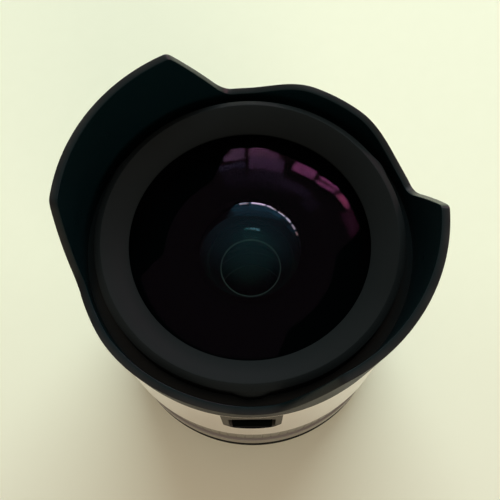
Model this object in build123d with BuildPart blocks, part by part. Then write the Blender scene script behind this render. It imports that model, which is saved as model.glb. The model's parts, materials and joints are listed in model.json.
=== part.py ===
"""Wide-angle pancake lens carrying a petal-hooded ultra-wide front converter.

Millimetres, +Z towards the front. The origin is on the lens axis, in the plane of the rear rim
that the lens stands on. The release latch faces -Y.
"""
import os
from math import cos, pi, radians, sin, sqrt, tan

from build123d import *

os.makedirs("parts", exist_ok=True)

# Clearances
running_gap = 0.05
axial_gap = 0.15
open_gap = 0.3
glass_gap = 0.05
float_gap = 0.02
small_break = 0.25

# Rear mount plate and its bayonet
flange_z = 4.6
flange_thick = 1.6
throat_r = 21.9
throat_wall = 1.0
throat_drop = 3.2
claw_reach = 1.1
claw_thick = 1.3
claw_span = 44
claw_count = 3
claw_start = 38
flange_relief_depth = 0.15
mount_screw_count = 4
mount_screw_start = 45
mount_screw_r = 0.8
mount_screw_head_r = 1.5
mount_screw_length = 3.4
lock_hole_r = 1.5
lock_hole_angle = 10
base_ring_width = 2.05

# Rear guard with the image window, and the electric contacts
guard_wall = 1.25
guard_inset = 0.4
guard_plate_thick = 1.2
window_width = 25.0
window_height = 17.0
window_corner = 1.5
contact_count = 10
contact_step = 5.6
contact_angle = -90
contact_pin_r = 0.45
contact_pin_length = 1.4
contact_pin_proud = 0.2
contact_block_z = 0.8
contact_block_width = 2.95

# Outer shells of the pancake lens
lens_length = 22.5
black_ring_height = 5.0
base_height = 5.0
floor_thick = 2.0
guide_wall = 2.1
index_angle = 100
index_r = 0.8
index_proud = 0.25
index_depth = 0.6

# Focus ring, its slip washers and its encoder
focus_wall = 1.45
grip_step = 0.5
washer_thick = 0.22
washer_gap = 0.04
groove_count = 100
groove_side = 0.42
groove_margin = 1.0
lip_wall = 0.35
strip_depth = 0.3
strip_width = 2.5
sensor_length = 3.9
sensor_width = 2.2
sensor_angles = (20, 26)
sensor_height = 2.3
sensor_window_span = 18
sensor_window_angle = 23
sensor_window_margin = 0.3

# Front bezel with the converter's bayonet socket
bezel_height = 2.7
bezel_floor_thick = 0.6
bezel_wall_inset = 0.7
bezel_wall = 1.0
bezel_overhang = 0.85
lug_lip_reach = 1.5
lug_lip_thick = 0.8
lug_lip_span = 32
lug_count = 3
lug_angle = -90
bezel_screw_r = 0.5
bezel_screw_head_r = 0.9
bezel_screw_length = 3.2
bezel_screw_start = 90
shroud_gap = 0.4
shroud_rim = 1.4
shroud_thick = 0.8

# Inner chassis of the pancake lens
chassis_gap = 0.5
chassis_wall = 1.0
chassis_floor_thick = 1.4
front_chassis_thick = 0.8
rear_glass_r = 11.0
rear_cell_wall = 1.4
rear_cell_rise = 0.2
rear_cell_lip = 0.8
rear_cell_lip_thick = 0.6
rear_retainer_height = 0.4
rear_retainer_width = 1.2
post_r = 1.1
post_angles = (40, 200, 290)

# Focus carriage, rods, lead screw and motor
carriage_gap = 0.4
carriage_height = 4.0
carriage_travel = 1.2
carriage_wall = 1.45
carriage_glass_r = 7.5
carriage_seat_thick = 0.3
carriage_seat_width = 0.5
rod_r = 0.75
rod_bushing_r = 1.9
main_rod_spacing = 4.5
main_rod_angle = 150
side_rod_spacing = 3.0
side_rod_angle = 330
screw_r = 0.9
screw_pitch = 0.5
screw_thread_depth = 0.15
screw_plain_end = 0.4
nut_rise = 0.6
nut_height = 2.2
arm_width = 2.4
arm_thick = 1.6
side_lug_height = 1.8
focus_motor_r = 3.0
motor_cell_gap = 1.1
motor_wall_gap = 0.9
motor_head_gap = 1.0
motor_shaft_depth = 2.4

# Iris: base, blades, cam ring with gear sector, pinion and motor
blade_count = 7
iris_open_r = 5.4
blade_width = 2.6
blade_span = 100
blade_heel = 5
blade_thick = 0.08
blade_pitch = 0.15
blade_swing = 30
blade_pivot_offset = 3.5
blade_drive_angle = -14
blade_eye_r = 0.75
iris_pin_r = 0.26
iris_pin_gap = 0.04
iris_base_thick = 0.5
iris_base_margin = 3.2
iris_base_wall = 0.8
iris_hole_margin = 0.8
iris_turn = 20
iris_ring_thick = 0.5
iris_ring_margin = 2.3
iris_hub_offset = 2.5
gear_module = 0.25
ring_gear_teeth = 104
pinion_teeth = 12
tooth_play = 0.03
gear_addendum = 0.25
gear_dedendum = 0.3
pinion_angle = 250
sector_margin = 8
pinion_shaft_r = 0.4
pinion_rim_gap = 0.38
iris_motor_r = 2.4
pinion_shaft_depth = 1.5

# Front cell of the pancake lens and its glasses
cell_disc_thick = 0.75
cell_rim_wall = 0.8
cell_hub_wall = 1.35
front_tube_wall = 1.35
front_tube_drop = 1.5
first_glass_r = 8.4
first_glass_depth = 3.1
first_front_curve = 18.0
first_rear_curve = 22.0
first_rear_inset = 1.4
second_glass_step = 0.4
second_seat_rise = 0.3
second_prime_depth = 1.4
second_prime_curve = 40.0
second_prime_rear_curve = 30.0
front_retainer_height = 0.6
front_retainer_width = 1.2
third_glass_depth = 1.9
third_glass_inset = 0.2
third_glass_curve = 40.0
fourth_glass_depth = 0.6
fourth_front_curve = 40.0
fourth_rear_curve = 60.0
fifth_curve = 60.0

# Circuit board, its chips and the flexible cable
board_rise = 2.5
board_thick = 0.8
board_inset = 2.0
board_cell_gap = 0.8
board_gap_half_angle = 12
board_notch_width = 0.7
flex_cell_gap = 0.6
flex_width = 6.0
flex_thick = 0.16
flex_tab = 2.4
flex_slot_gap = 0.3
chip_height = 0.8

# Converter: mount ring, barrel and latch
converter_step = 0.2
conv_tube_wall = 1.1
conv_tube_height = 4.8
conv_claw_thick = 0.85
conv_claw_rise = 0.1
conv_claw_span = 30
conv_flange_thick = 1.25
conv_flange_gap = 0.2
conv_screw_r = 0.6
conv_screw_head_r = 1.1
conv_screw_angles = (0, 90, 180)
conv_barrel_wall = 1.3
conv_barrel_length = 29.75
conv_foot_step = 0.04
conv_barrel_flare = 1.25
conv_web_thick = 1.6
conv_top_chamfer_r = 0.6
conv_top_chamfer_z = 0.8
conv_top_lip = 1.3
conv_top_lip_thick = 0.8
screw_end_gap = 0.2

# Latch: finger recess, window, slider, leaf with its pin, and spring
recess_depth = 0.5
recess_width = 12.0
recess_margin = 1.5
recess_corner = 4.5
latch_width = 8.2
latch_height = 8.0
latch_drop = 14.7
latch_cut_margin = 2.0
slider_travel = 2.0
slider_gap = 0.4
slider_plate_thick = 0.9
slider_plate_half_angle = 17
slider_plate_margin = 2.2
slider_plate_height = 12.2
knob_gap = 0.35
knob_height = 5.4
knob_proud = 0.25
knob_rib_count = 3
knob_rib_depth = 0.3
stem_width = 3.0
foot_width = 2.0
foot_offset = 2.6
foot_thick = 0.7
leaf_thick = 0.3
leaf_width = 1.6
leaf_rise = 1.5
leaf_start = -140
leaf_end = -82
lock_pin_r = 0.55
lock_pin_gap = 0.15
lock_pin_depth = 0.7
leaf_screw_angle = -134
leaf_screw_r = 0.5
leaf_screw_head_r = 1.0
leaf_screw_head_height = 0.6
spring_r = 0.65
spring_wire_r = 0.15
spring_pitch = 0.8

# Converter cell and its glasses
conv_cell_wall = 1.0
conv_cell_slider_gap = 0.7
conv_cell_rear_length = 6.4
conv_cell_cone = 10.0
conv_cell_overhang = 0.1
conv_cell_flange_thick = 1.2
cup_wall = 1.85
cup_height = 3.3
front_glass_inset = 5.6
front_glass_sink = 0.5
front_glass_height = 11.1
front_glass_curve = 40.0
front_glass_thick = 3.0
front_glass_land = 6.5
second_glass_r = 9.9
second_glass_drop = 5.4
second_glass_height = 7.0
second_glass_curve = 14.0
second_glass_rear_curve = 9.2
second_glass_land = 2.1
funnel_rise = 1.6
funnel_lift = 3.3
funnel_wall = 1.7
funnel_land = 0.5
inner_tube_wall = 2.05
seat_lip = 1.5
seat_lip_thick = 1.0
doublet_r = 8.85
spacer_height = 4.0
spacer_wall = 0.7
spacer_open_r = 5.9
doublet_front_curve = 20.0
doublet_joint_curve = 30.0
doublet_joint_drop = 3.0
doublet_rear_curve = 60.0
doublet_rear_drop = 5.0
lock_ring_height = 1.4
lock_ring_width = 1.7
inner_tube_length = 13.0

# Grey front ring
ring_overlap = 2.17
ring_glass_gap = 0.08
ring_land = 0.25
ring_width = 1.8
ring_shoulder = 1.3
ring_crest_drop = 3.1
ring_outer_drop = 3.8
ring_tab_count = 3
ring_tab_r = 7.25
ring_tab_proud = 0.55
ring_tab_drop = 0.6

# Petal hood
hood_height = 20.8
hood_spread = 1.88
hood_lean = 3.22
hood_wall = 1.4
hood_base_rise = 1.5
hood_flange_thick = 1.2
small_petal_angle = 57.2
dip_height = 5.9
small_petal_rise = 3.5
small_petal_flat = 8.9
small_petal_foot = 34.3
petal_side_start = 38.2
petal_side_blend = 6.5
petal_side_lean = 57.5
petal_corner_blend = 2.6
rim_cut_margin = 3.0
hood_screw_count = 4
hood_screw_r = 0.5
hood_screw_head_r = 0.8
hood_screw_margin = 1.0
hood_screw_start = 45

# Radii of the pancake lens, worked out from the iris gear outwards
pinion_ring_r = gear_module * (ring_gear_teeth + pinion_teeth) / 2
pinion_tip_r = gear_module * pinion_teeth / 2 + gear_addendum - tooth_play
cell_disc_r = pinion_ring_r + pinion_tip_r + pinion_rim_gap + cell_rim_wall
screw_ring_r = cell_disc_r + motor_cell_gap + focus_motor_r
chassis_r = screw_ring_r + focus_motor_r + motor_wall_gap + chassis_wall
guide_bore_r = chassis_r + chassis_gap
guide_r = guide_bore_r + guide_wall
focus_bore_r = guide_r + running_gap
focus_ring_r = focus_bore_r + focus_wall
barrel_r = focus_ring_r + grip_step
flange_r = barrel_r - base_ring_width - glass_gap
floor_inner_r = throat_r + 2 * glass_gap
throat_bore_r = throat_r - throat_wall
guard_r = throat_bore_r - glass_gap
contact_outer_r = guard_r - guard_wall - glass_gap
contact_block_inner_r = contact_outer_r - contact_block_width
mount_screw_ring_r = (throat_r + flange_r) / 2
main_rod_ring_r = screw_ring_r - main_rod_spacing
side_rod_ring_r = rear_glass_r + side_rod_spacing
carriage_r = carriage_glass_r + glass_gap + carriage_wall
blade_pivot_r = iris_open_r + blade_pivot_offset
iris_base_hole_r = iris_open_r + iris_hole_margin
front_chassis_hole_r = iris_base_hole_r + iris_hole_margin
iris_base_r = blade_pivot_r + iris_base_margin
iris_ring_bore = iris_open_r + iris_hub_offset
iris_ring_r = blade_pivot_r + iris_ring_margin
cell_hub_inner_r = iris_ring_bore - running_gap - cell_hub_wall
second_prime_glass_r = cell_hub_inner_r + second_glass_step
board_inner_r = cell_disc_r + board_cell_gap
board_outer_r = chassis_r - board_inset
flex_y = cell_disc_r + flex_cell_gap
bezel_wall_r = guide_r - bezel_wall_inset
bezel_flange_r = guide_r + bezel_overhang
bezel_screw_ring_r = (guide_bore_r + guide_r) / 2
lug_lip_inner_r = bezel_wall_r - lug_lip_reach

# Radii of the converter, worked out from the bezel that it locks into
conv_tube_r = lug_lip_inner_r - open_gap
conv_claw_r = bezel_wall_r - open_gap
conv_skirt_r = bezel_wall_r + bezel_wall + open_gap
conv_flange_r = conv_skirt_r - conv_flange_gap
conv_screw_ring_r = (conv_tube_r + conv_flange_r) / 2
conv_barrel_r = barrel_r + converter_step
conv_barrel_foot_r = focus_ring_r + conv_foot_step
conv_bore_r = conv_barrel_r - conv_barrel_wall
shroud_r = conv_tube_r - conv_tube_wall - shroud_gap
bezel_inner_r = shroud_r - shroud_rim - 2 * glass_gap
plate_outer_r = conv_bore_r - slider_gap
slider_plate_r = plate_outer_r - slider_plate_thick
leaf_outer_r = slider_plate_r - open_gap
leaf_inner_r = leaf_outer_r - leaf_width
lock_pin_ring_r = leaf_outer_r - lock_pin_r
spring_ring_r = conv_bore_r - spring_r - small_break
conv_cell_rear_r = conv_tube_r - conv_tube_wall - 4 * glass_gap
conv_cell_front_r = slider_plate_r - conv_cell_slider_gap
conv_cell_flange_r = conv_bore_r + conv_cell_overhang
front_glass_r = conv_bore_r - front_glass_inset
front_glass_rear_r = front_glass_r - front_glass_land
funnel_outer_r = front_glass_rear_r + funnel_land
cup_bore_r = front_glass_r + glass_gap
cup_r = cup_bore_r + cup_wall
ring_inner_r = front_glass_r - ring_overlap
ring_outer_r = cup_r + ring_width
ring_crest_r = ring_outer_r - ring_shoulder
ring_tab_centre_r = ring_outer_r + ring_tab_proud - ring_tab_r
hood_base_r = conv_barrel_r - conv_top_chamfer_r
hood_top_r = hood_base_r + hood_spread
hood_screw_ring_r = cup_r + hood_screw_margin

# Heights of the pancake lens, from the rear upwards
flange_top = flange_z + flange_thick
guard_plate_z = flange_z - guard_inset
guard_top_z = flange_top - guard_inset
black_ring_top = flange_z + black_ring_height
base_top = black_ring_top + base_height
floor_top = flange_top + floor_thick
chassis_floor_top = floor_top + chassis_floor_thick
rear_cell_z = flange_top + rear_cell_rise
rear_cell_top = chassis_floor_top + rear_cell_lip_thick
carriage_z = rear_cell_top + carriage_gap
nut_z = carriage_z + nut_rise
front_chassis_z = carriage_z + carriage_height + carriage_travel + carriage_gap
front_chassis_top = front_chassis_z + front_chassis_thick
strip_z = front_chassis_top
board_z = front_chassis_top + board_rise
board_top = board_z + board_thick
iris_base_top = front_chassis_top + iris_base_thick
first_blade_z = iris_base_top + axial_gap
blades_top = first_blade_z + (blade_count - 1) * blade_pitch + blade_thick
iris_ring_z = blades_top + axial_gap
cell_disc_z = iris_ring_z + iris_ring_thick + axial_gap
cell_disc_top = cell_disc_z + cell_disc_thick
front_z = flange_z + lens_length
bezel_z = front_z - bezel_height
bezel_floor_top = bezel_z + bezel_floor_thick
lip_bottom = front_z - lug_lip_thick
focus_ring_bottom = base_top + washer_thick + washer_gap
focus_shoulder_z = bezel_z - washer_thick - washer_gap
front_tube_top = front_z - front_tube_drop
first_glass_seat = front_tube_top - first_glass_depth
focus_motor_top = bezel_z - motor_head_gap
iris_motor_top = bezel_z - open_gap

# Heights of the converter, from the bezel upwards
skirt_z = bezel_floor_top + axial_gap
conv_claw_z = skirt_z + conv_claw_rise
conv_face = front_z + axial_gap
conv_web_z = conv_face + conv_flange_thick
conv_web_top = conv_web_z + conv_web_thick
leaf_z = conv_web_top + leaf_rise
conv_barrel_top = skirt_z + conv_barrel_length
latch_bottom_z = conv_barrel_top - latch_drop
recess_bottom_z = latch_bottom_z - recess_margin
slider_plate_z = latch_bottom_z - slider_plate_margin
cell_flange_top = conv_barrel_top + conv_cell_flange_thick
cup_top = cell_flange_top + cup_height
front_glass_seat = conv_barrel_top - front_glass_sink
front_glass_apex = front_glass_seat + front_glass_height
front_glass_rear_apex = front_glass_apex - front_glass_thick
second_glass_seat = front_glass_seat - second_glass_drop
second_glass_apex = second_glass_seat + second_glass_height
seat_lip_bottom = second_glass_seat - seat_lip_thick
spacer_bottom = seat_lip_bottom - spacer_height
doublet_joint_z = spacer_bottom - doublet_joint_drop
doublet_rear_z = spacer_bottom - doublet_rear_drop
inner_tube_bottom = seat_lip_bottom - inner_tube_length
ring_crest_z = front_glass_apex - ring_crest_drop
ring_outer_z = front_glass_apex - ring_outer_drop
hood_floor_z = cell_flange_top + hood_flange_thick
hood_top_z = conv_barrel_top + hood_height
dip_z = conv_barrel_top + dip_height


def polar(radius, angle):
    """A point in plan at this radius and angle."""
    return (radius * cos(radians(angle)), radius * sin(radians(angle)))


def lathe(*points):
    """A turned ring: radius and height of each corner, spun round the lens axis."""
    with BuildSketch(Plane.XZ) as section:
        with BuildLine():
            Polyline(*points, close=True)
        make_face()
    revolve(section.sketch, axis=Axis.Z)


def tube(inner_r, outer_r, low_z, high_z):
    """A plain turned ring of rectangular section."""
    lathe((inner_r, low_z), (outer_r, low_z), (outer_r, high_z), (inner_r, high_z))


def upright(place):
    """The plane across the lens through a place in plan, with its sketch's y along the height."""
    return Plane(origin=(place[0], place[1], 0), x_dir=(1, 0, 0), z_dir=(0, -1, 0))


def sector(inner_r, outer_r, start, stop):
    """A piece of a flat ring between two angles, in the sketch that is open."""
    with BuildLine() as outline:
        outer = CenterArc((0, 0), outer_r, start, stop - start)
        inner = CenterArc((0, 0), inner_r, start, stop - start)
        Line(outer @ 0, inner @ 0)
        Line(outer @ 1, inner @ 1)
    make_face(outline.edges())


def pegs(radius, low_z, high_z, places, mode=Mode.ADD):
    """Round pegs or holes at these places in plan, between two heights."""
    with BuildSketch(Plane.XY.offset(low_z)) as section:
        with Locations(*places):
            Circle(radius)
    extrude(section.sketch, amount=high_z - low_z, mode=mode)


def block(width, depth, low_z, high_z, place, angle=0, mode=Mode.ADD):
    """A rectangular block between two heights, centred at a place in plan."""
    with BuildSketch(Plane.XY.offset(low_z)) as section:
        with Locations(place):
            Rectangle(width, depth, rotation=angle)
    extrude(section.sketch, amount=high_z - low_z, mode=mode)


def flush_screw(head_r, shank_r, face_z, length, down=True):
    """Points of a countersunk screw's half section; its head is flush with a face."""
    way = -1 if down else 1
    taper = head_r - shank_r
    return [(0, face_z), (head_r, face_z), (shank_r, face_z + way * taper),
            (shank_r, face_z + way * length), (0, face_z + way * length)]


def screws(head_r, shank_r, face_z, length, places, down=True):
    """Countersunk screws with their axes along Z."""
    for place in places:
        with BuildSketch(upright(place)) as section:
            with BuildLine():
                Polyline(*flush_screw(head_r, shank_r, face_z, length, down), close=True)
            make_face()
        revolve(section.sketch, axis=Axis((place[0], place[1], 0), (0, 0, 1)))


def screw_holes(head_r, shank_r, face_z, length, places, down=True):
    """Countersunk holes that the screws sit in, one running gap larger all round."""
    way = -1 if down else 1
    outer = head_r + running_gap
    inner = shank_r + running_gap
    for place in places:
        with BuildSketch(upright(place)) as section:
            with BuildLine():
                Polyline((0, face_z), (outer, face_z), (inner, face_z + way * (outer - inner)),
                         (inner, face_z + way * length), (0, face_z + way * length), close=True)
            make_face()
        revolve(section.sketch, axis=Axis((place[0], place[1], 0), (0, 0, 1)), mode=Mode.SUBTRACT)


def sag(curve, radius):
    """How far a spherical surface falls back from its apex at a radius."""
    return abs(curve) - sqrt(curve * curve - radius * radius)


def surface_z(apex_z, curve, radius):
    """Height of a glass surface at a radius; a positive curve bulges to the front."""
    return apex_z - sag(curve, radius) if curve > 0 else apex_z + sag(curve, radius)


def glass(front_z, front_curve, rear_z, rear_curve, edge_r, rear_r=None):
    """A lens element: two spherical faces, a ground edge and a flat rear land if rear_r is given."""
    rear_r = rear_r or edge_r
    rear_edge_z = surface_z(rear_z, rear_curve, rear_r)
    front_edge_z = surface_z(front_z, front_curve, edge_r)
    with BuildSketch(Plane.XZ) as section:
        with BuildLine():
            ThreePointArc((0, rear_z), (rear_r / 2, surface_z(rear_z, rear_curve, rear_r / 2)),
                          (rear_r, rear_edge_z))
            if rear_r < edge_r:
                Line((rear_r, rear_edge_z), (edge_r, rear_edge_z))
            Line((edge_r, rear_edge_z), (edge_r, front_edge_z))
            ThreePointArc((edge_r, front_edge_z), (edge_r / 2, surface_z(front_z, front_curve, edge_r / 2)),
                          (0, front_z))
            Line((0, front_z), (0, rear_z))
        make_face()
    revolve(section.sketch, axis=Axis.Z)


def curve_through(apex_z, edge_z, radius):
    """The curve of a surface that falls from its apex to this edge height at this radius."""
    fall = apex_z - edge_z
    return (radius * radius + fall * fall) / (2 * fall)


mount_screw_places = [polar(mount_screw_ring_r, mount_screw_start + 360 / mount_screw_count * k)
                      for k in range(mount_screw_count)]
bezel_screw_places = [polar(bezel_screw_ring_r, bezel_screw_start + 120 * k) for k in range(3)]
conv_screw_places = [polar(conv_screw_ring_r, angle) for angle in conv_screw_angles]
hood_screw_places = [polar(hood_screw_ring_r, hood_screw_start + 360 / hood_screw_count * k)
                     for k in range(hood_screw_count)]
main_rod = polar(main_rod_ring_r, main_rod_angle)
side_rod = polar(side_rod_ring_r, side_rod_angle)
screw_axis = polar(screw_ring_r, main_rod_angle)
pinion_axis = polar(pinion_ring_r, pinion_angle)
lock_pin_place = polar(lock_pin_ring_r, lug_angle)
leaf_screw_place = polar((leaf_inner_r + leaf_outer_r) / 2, leaf_screw_angle)

# Mount plate: the flange with a relief step round the throat tube, and three bayonet claws
relief_z = flange_z + flange_relief_depth
relief_r = throat_r + claw_reach + open_gap
with BuildPart() as mount_plate:
    lathe((throat_bore_r, flange_z - throat_drop), (throat_r, flange_z - throat_drop), (throat_r, relief_z),
          (relief_r, relief_z), (relief_r, flange_z), (flange_r, flange_z), (flange_r, flange_top),
          (throat_bore_r, flange_top))
    with BuildSketch(Plane.XY.offset(flange_z - throat_drop + 0.1)):
        for k in range(claw_count):
            start = claw_start + 360 / claw_count * k
            sector(throat_r - 0.2, throat_r + claw_reach, start, start + claw_span)
    extrude(amount=claw_thick)
    screw_holes(mount_screw_head_r, mount_screw_r, flange_z, mount_screw_length, mount_screw_places, False)
    pegs(lock_hole_r, flange_z, flange_top, [polar(mount_screw_ring_r, lock_hole_angle)], Mode.SUBTRACT)

with BuildPart() as mount_screws:
    screws(mount_screw_head_r, mount_screw_r, flange_z, mount_screw_length, mount_screw_places, False)

# Rear guard: a short tube with a plate that frames the image window
flex_slot = (flex_width + 2 * flex_slot_gap, flex_thick + 2 * flex_slot_gap)
with BuildPart() as rear_guard:
    tube(guard_r - guard_wall, guard_r, 0, guard_top_z)
    pegs(guard_r - guard_wall + 0.1, guard_plate_z, guard_plate_z + guard_plate_thick, [(0, 0)])
    with BuildSketch(Plane.XY.offset(guard_plate_z)):
        RectangleRounded(window_width, window_height, window_corner)
    extrude(amount=guard_plate_thick, mode=Mode.SUBTRACT)
    block(*flex_slot, guard_plate_z, guard_top_z, (0, -flex_y), 0, Mode.SUBTRACT)

# Contact block and its gold pins
contact_ring_r = (contact_block_inner_r + contact_outer_r) / 2
contact_half_span = contact_step * (contact_count + 0.6) / 2
contact_places = [polar(contact_ring_r, contact_angle + contact_step * (k - (contact_count - 1) / 2))
                  for k in range(contact_count)]
pin_bottom = contact_block_z - contact_pin_proud
with BuildPart() as contact_block:
    with BuildSketch(Plane.XY.offset(contact_block_z)):
        sector(contact_block_inner_r, contact_outer_r, contact_angle - contact_half_span,
               contact_angle + contact_half_span)
    extrude(amount=guard_plate_z - contact_block_z)
    pegs(contact_pin_r + float_gap, contact_block_z, pin_bottom + contact_pin_length + float_gap,
         contact_places, Mode.SUBTRACT)

with BuildPart() as contact_pins:
    pegs(contact_pin_r, pin_bottom, pin_bottom + contact_pin_length, contact_places)

# Black base ring round the mount plate, and the silver base barrel with the guide tube
with BuildPart() as base_ring:
    tube(flange_r + glass_gap, barrel_r, flange_z, black_ring_top)
    chamfer(base_ring.edges().group_by(Axis.Z)[0].sort_by(SortBy.RADIUS)[-1], small_break)

index_direction = (cos(radians(index_angle)), sin(radians(index_angle)), 0)
index_z = black_ring_top + base_height / 2
index_foot = barrel_r - index_depth
index_plane = Plane(origin=(index_foot * index_direction[0], index_foot * index_direction[1], index_z),
                    z_dir=index_direction)
with BuildPart() as base_barrel:
    lathe((floor_inner_r, flange_top), (flange_r + glass_gap, flange_top), (flange_r + glass_gap, black_ring_top),
          (barrel_r - small_break, black_ring_top), (barrel_r, black_ring_top + small_break),
          (barrel_r, base_top - small_break), (barrel_r - small_break, base_top), (guide_r, base_top),
          (guide_r, bezel_z), (guide_bore_r, bezel_z), (guide_bore_r, floor_top), (floor_inner_r, floor_top))
    pegs(mount_screw_r + running_gap, flange_top, flange_z + mount_screw_length + running_gap,
         mount_screw_places, Mode.SUBTRACT)
    pegs(bezel_screw_r + running_gap, bezel_floor_top - bezel_screw_length - running_gap, bezel_z,
         bezel_screw_places, Mode.SUBTRACT)
    with BuildSketch(Plane.XY.offset(front_chassis_top - sensor_window_margin)):
        sector(guide_bore_r - 0.5, guide_r + 0.5, sensor_window_angle - sensor_window_span / 2,
               sensor_window_angle + sensor_window_span / 2)
    extrude(amount=sensor_height + 2 * sensor_window_margin, mode=Mode.SUBTRACT)
    with BuildSketch(index_plane):
        Circle(index_r + float_gap)
    extrude(amount=2 * index_depth, mode=Mode.SUBTRACT)

with BuildPart() as index_bead:
    with BuildSketch(index_plane):
        Circle(index_r)
    extrude(amount=index_depth + index_proud)
    fillet(index_bead.faces().sort_by(Axis.Y)[-1].edges(), index_proud)

# Focus ring with its ridged grip, turning on the guide tube between two slip washers
focus_lip_z = bezel_floor_top - open_gap
ridge_bottom = focus_ring_bottom + groove_margin
ridge_top = focus_shoulder_z - groove_margin
with BuildPart() as focus_ring:
    lathe((focus_bore_r, focus_ring_bottom), (focus_ring_r - small_break, focus_ring_bottom),
          (focus_ring_r, focus_ring_bottom + small_break), (focus_ring_r, focus_lip_z),
          (focus_ring_r - lip_wall, focus_lip_z), (focus_ring_r - lip_wall, focus_shoulder_z),
          (focus_bore_r, focus_shoulder_z), (focus_bore_r, strip_z + strip_width),
          (focus_bore_r + strip_depth, strip_z + strip_width), (focus_bore_r + strip_depth, strip_z),
          (focus_bore_r, strip_z))
    with BuildSketch(Plane.XY.offset(ridge_bottom)):
        with PolarLocations(focus_ring_r, groove_count):
            Rectangle(groove_side, groove_side, rotation=45)
    extrude(amount=ridge_top - ridge_bottom, mode=Mode.SUBTRACT)

with BuildPart() as encoder_strip:
    tube(focus_bore_r + float_gap, focus_bore_r + strip_depth - float_gap, strip_z + float_gap,
         strip_z + strip_width - float_gap)

with BuildPart() as slip_washers:
    tube(guide_r + running_gap, focus_ring_r - small_break, base_top, base_top + washer_thick)
    tube(guide_r + running_gap, bezel_flange_r, bezel_z - washer_thick, bezel_z)

with BuildPart() as focus_sensors:
    for angle in sensor_angles:
        block(sensor_length, sensor_width, front_chassis_top, front_chassis_top + sensor_height,
              polar(guide_r - open_gap - sensor_length / 2, angle), angle)

# Front bezel: floor, wall and three lips that the converter's claws turn under
with BuildPart() as front_bezel:
    tube(bezel_inner_r, bezel_flange_r, bezel_z, bezel_floor_top)
    tube(bezel_wall_r, bezel_wall_r + bezel_wall, bezel_floor_top, front_z)
    with BuildSketch(Plane.XY.offset(lip_bottom)):
        for k in range(lug_count):
            middle = lug_angle + 360 / lug_count * k
            sector(lug_lip_inner_r, bezel_wall_r + 0.2, middle - lug_lip_span / 2, middle + lug_lip_span / 2)
    extrude(amount=lug_lip_thick)
    pegs(lock_pin_r + lock_pin_gap, lip_bottom, front_z, [lock_pin_place], Mode.SUBTRACT)
    screw_holes(bezel_screw_head_r, bezel_screw_r, bezel_floor_top, bezel_screw_length, bezel_screw_places)

with BuildPart() as bezel_screws:
    screws(bezel_screw_head_r, bezel_screw_r, bezel_floor_top, bezel_screw_length, bezel_screw_places)

shroud_top = front_z - open_gap
shroud_disc_z = front_tube_top + axial_gap
front_tube_r = first_glass_r + glass_gap + front_tube_wall
shroud_inner_r = front_tube_r + axial_gap
with BuildPart() as front_shroud:
    lathe((shroud_r - shroud_rim, bezel_floor_top), (shroud_r, bezel_floor_top), (shroud_r, shroud_top),
          (shroud_r - shroud_rim, shroud_top), (shroud_inner_r, shroud_disc_z + shroud_thick / 2),
          (shroud_inner_r, shroud_disc_z), (shroud_r - shroud_rim, shroud_top - shroud_thick))

# Rear chassis: floor plate, outer wall and the rear lens cell
rod_holes = [main_rod, side_rod]
with BuildPart() as rear_chassis:
    tube(rear_glass_r + glass_gap, chassis_r, floor_top, chassis_floor_top)
    tube(chassis_r - chassis_wall, chassis_r, chassis_floor_top, front_chassis_z)
    tube(rear_glass_r + glass_gap, rear_glass_r + glass_gap + rear_cell_wall, rear_cell_z, rear_cell_top)
    tube(rear_glass_r - rear_cell_lip, rear_glass_r + glass_gap + 0.2, chassis_floor_top, rear_cell_top)
    pegs(rod_r + float_gap, floor_top, chassis_floor_top, rod_holes, Mode.SUBTRACT)
    pegs(screw_r + running_gap, floor_top, chassis_floor_top, [screw_axis], Mode.SUBTRACT)
    block(*flex_slot, floor_top, chassis_floor_top, (0, -flex_y), 0, Mode.SUBTRACT)

rear_glass_front = chassis_floor_top - float_gap
rear_seat_z = rear_cell_z + rear_retainer_height
with BuildPart() as rear_retainer:
    tube(rear_glass_r - rear_retainer_width, rear_glass_r, rear_cell_z, rear_seat_z)

# Front chassis plate with the posts that carry the circuit board
with BuildPart() as front_chassis:
    tube(front_chassis_hole_r, chassis_r, front_chassis_z, front_chassis_top)
    pegs(post_r, front_chassis_top, board_z, [polar(screw_ring_r, angle) for angle in post_angles])
    pegs(rod_r + float_gap, front_chassis_z, front_chassis_top, rod_holes, Mode.SUBTRACT)
    pegs(screw_r + 2 * running_gap, front_chassis_z, front_chassis_top, [screw_axis], Mode.SUBTRACT)
    block(*flex_slot, front_chassis_z, front_chassis_top, (0, -flex_y), 0, Mode.SUBTRACT)

# Focus carriage: lens cell with two bushings and a nut, all on arms
carriage_top = carriage_z + carriage_height
carriage_seat = carriage_z + carriage_seat_thick
arm_z = nut_z
with BuildPart() as focus_carriage:
    tube(carriage_glass_r + glass_gap, carriage_r, carriage_z, carriage_top)
    tube(carriage_glass_r - carriage_seat_width, carriage_glass_r + 0.2, carriage_z, carriage_seat)
    block(screw_ring_r - carriage_r + 0.6, arm_width, arm_z, arm_z + arm_thick,
          polar((screw_ring_r + carriage_r - 0.6) / 2, main_rod_angle), main_rod_angle)
    block(side_rod_ring_r - carriage_r + 0.6, arm_width, arm_z, arm_z + arm_thick,
          polar((side_rod_ring_r + carriage_r - 0.6) / 2, side_rod_angle), side_rod_angle)
    pegs(rod_bushing_r, carriage_z, carriage_top, [main_rod])
    pegs(rod_bushing_r, nut_z, nut_z + side_lug_height, [side_rod])
    pegs(rod_bushing_r, nut_z, nut_z + nut_height, [screw_axis])
    pegs(rod_r + running_gap, carriage_z, carriage_top, rod_holes, Mode.SUBTRACT)
    pegs(screw_r + running_gap, nut_z, nut_z + nut_height, [screw_axis], Mode.SUBTRACT)

with BuildPart() as guide_rods:
    pegs(rod_r, floor_top, front_chassis_top, rod_holes)

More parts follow.
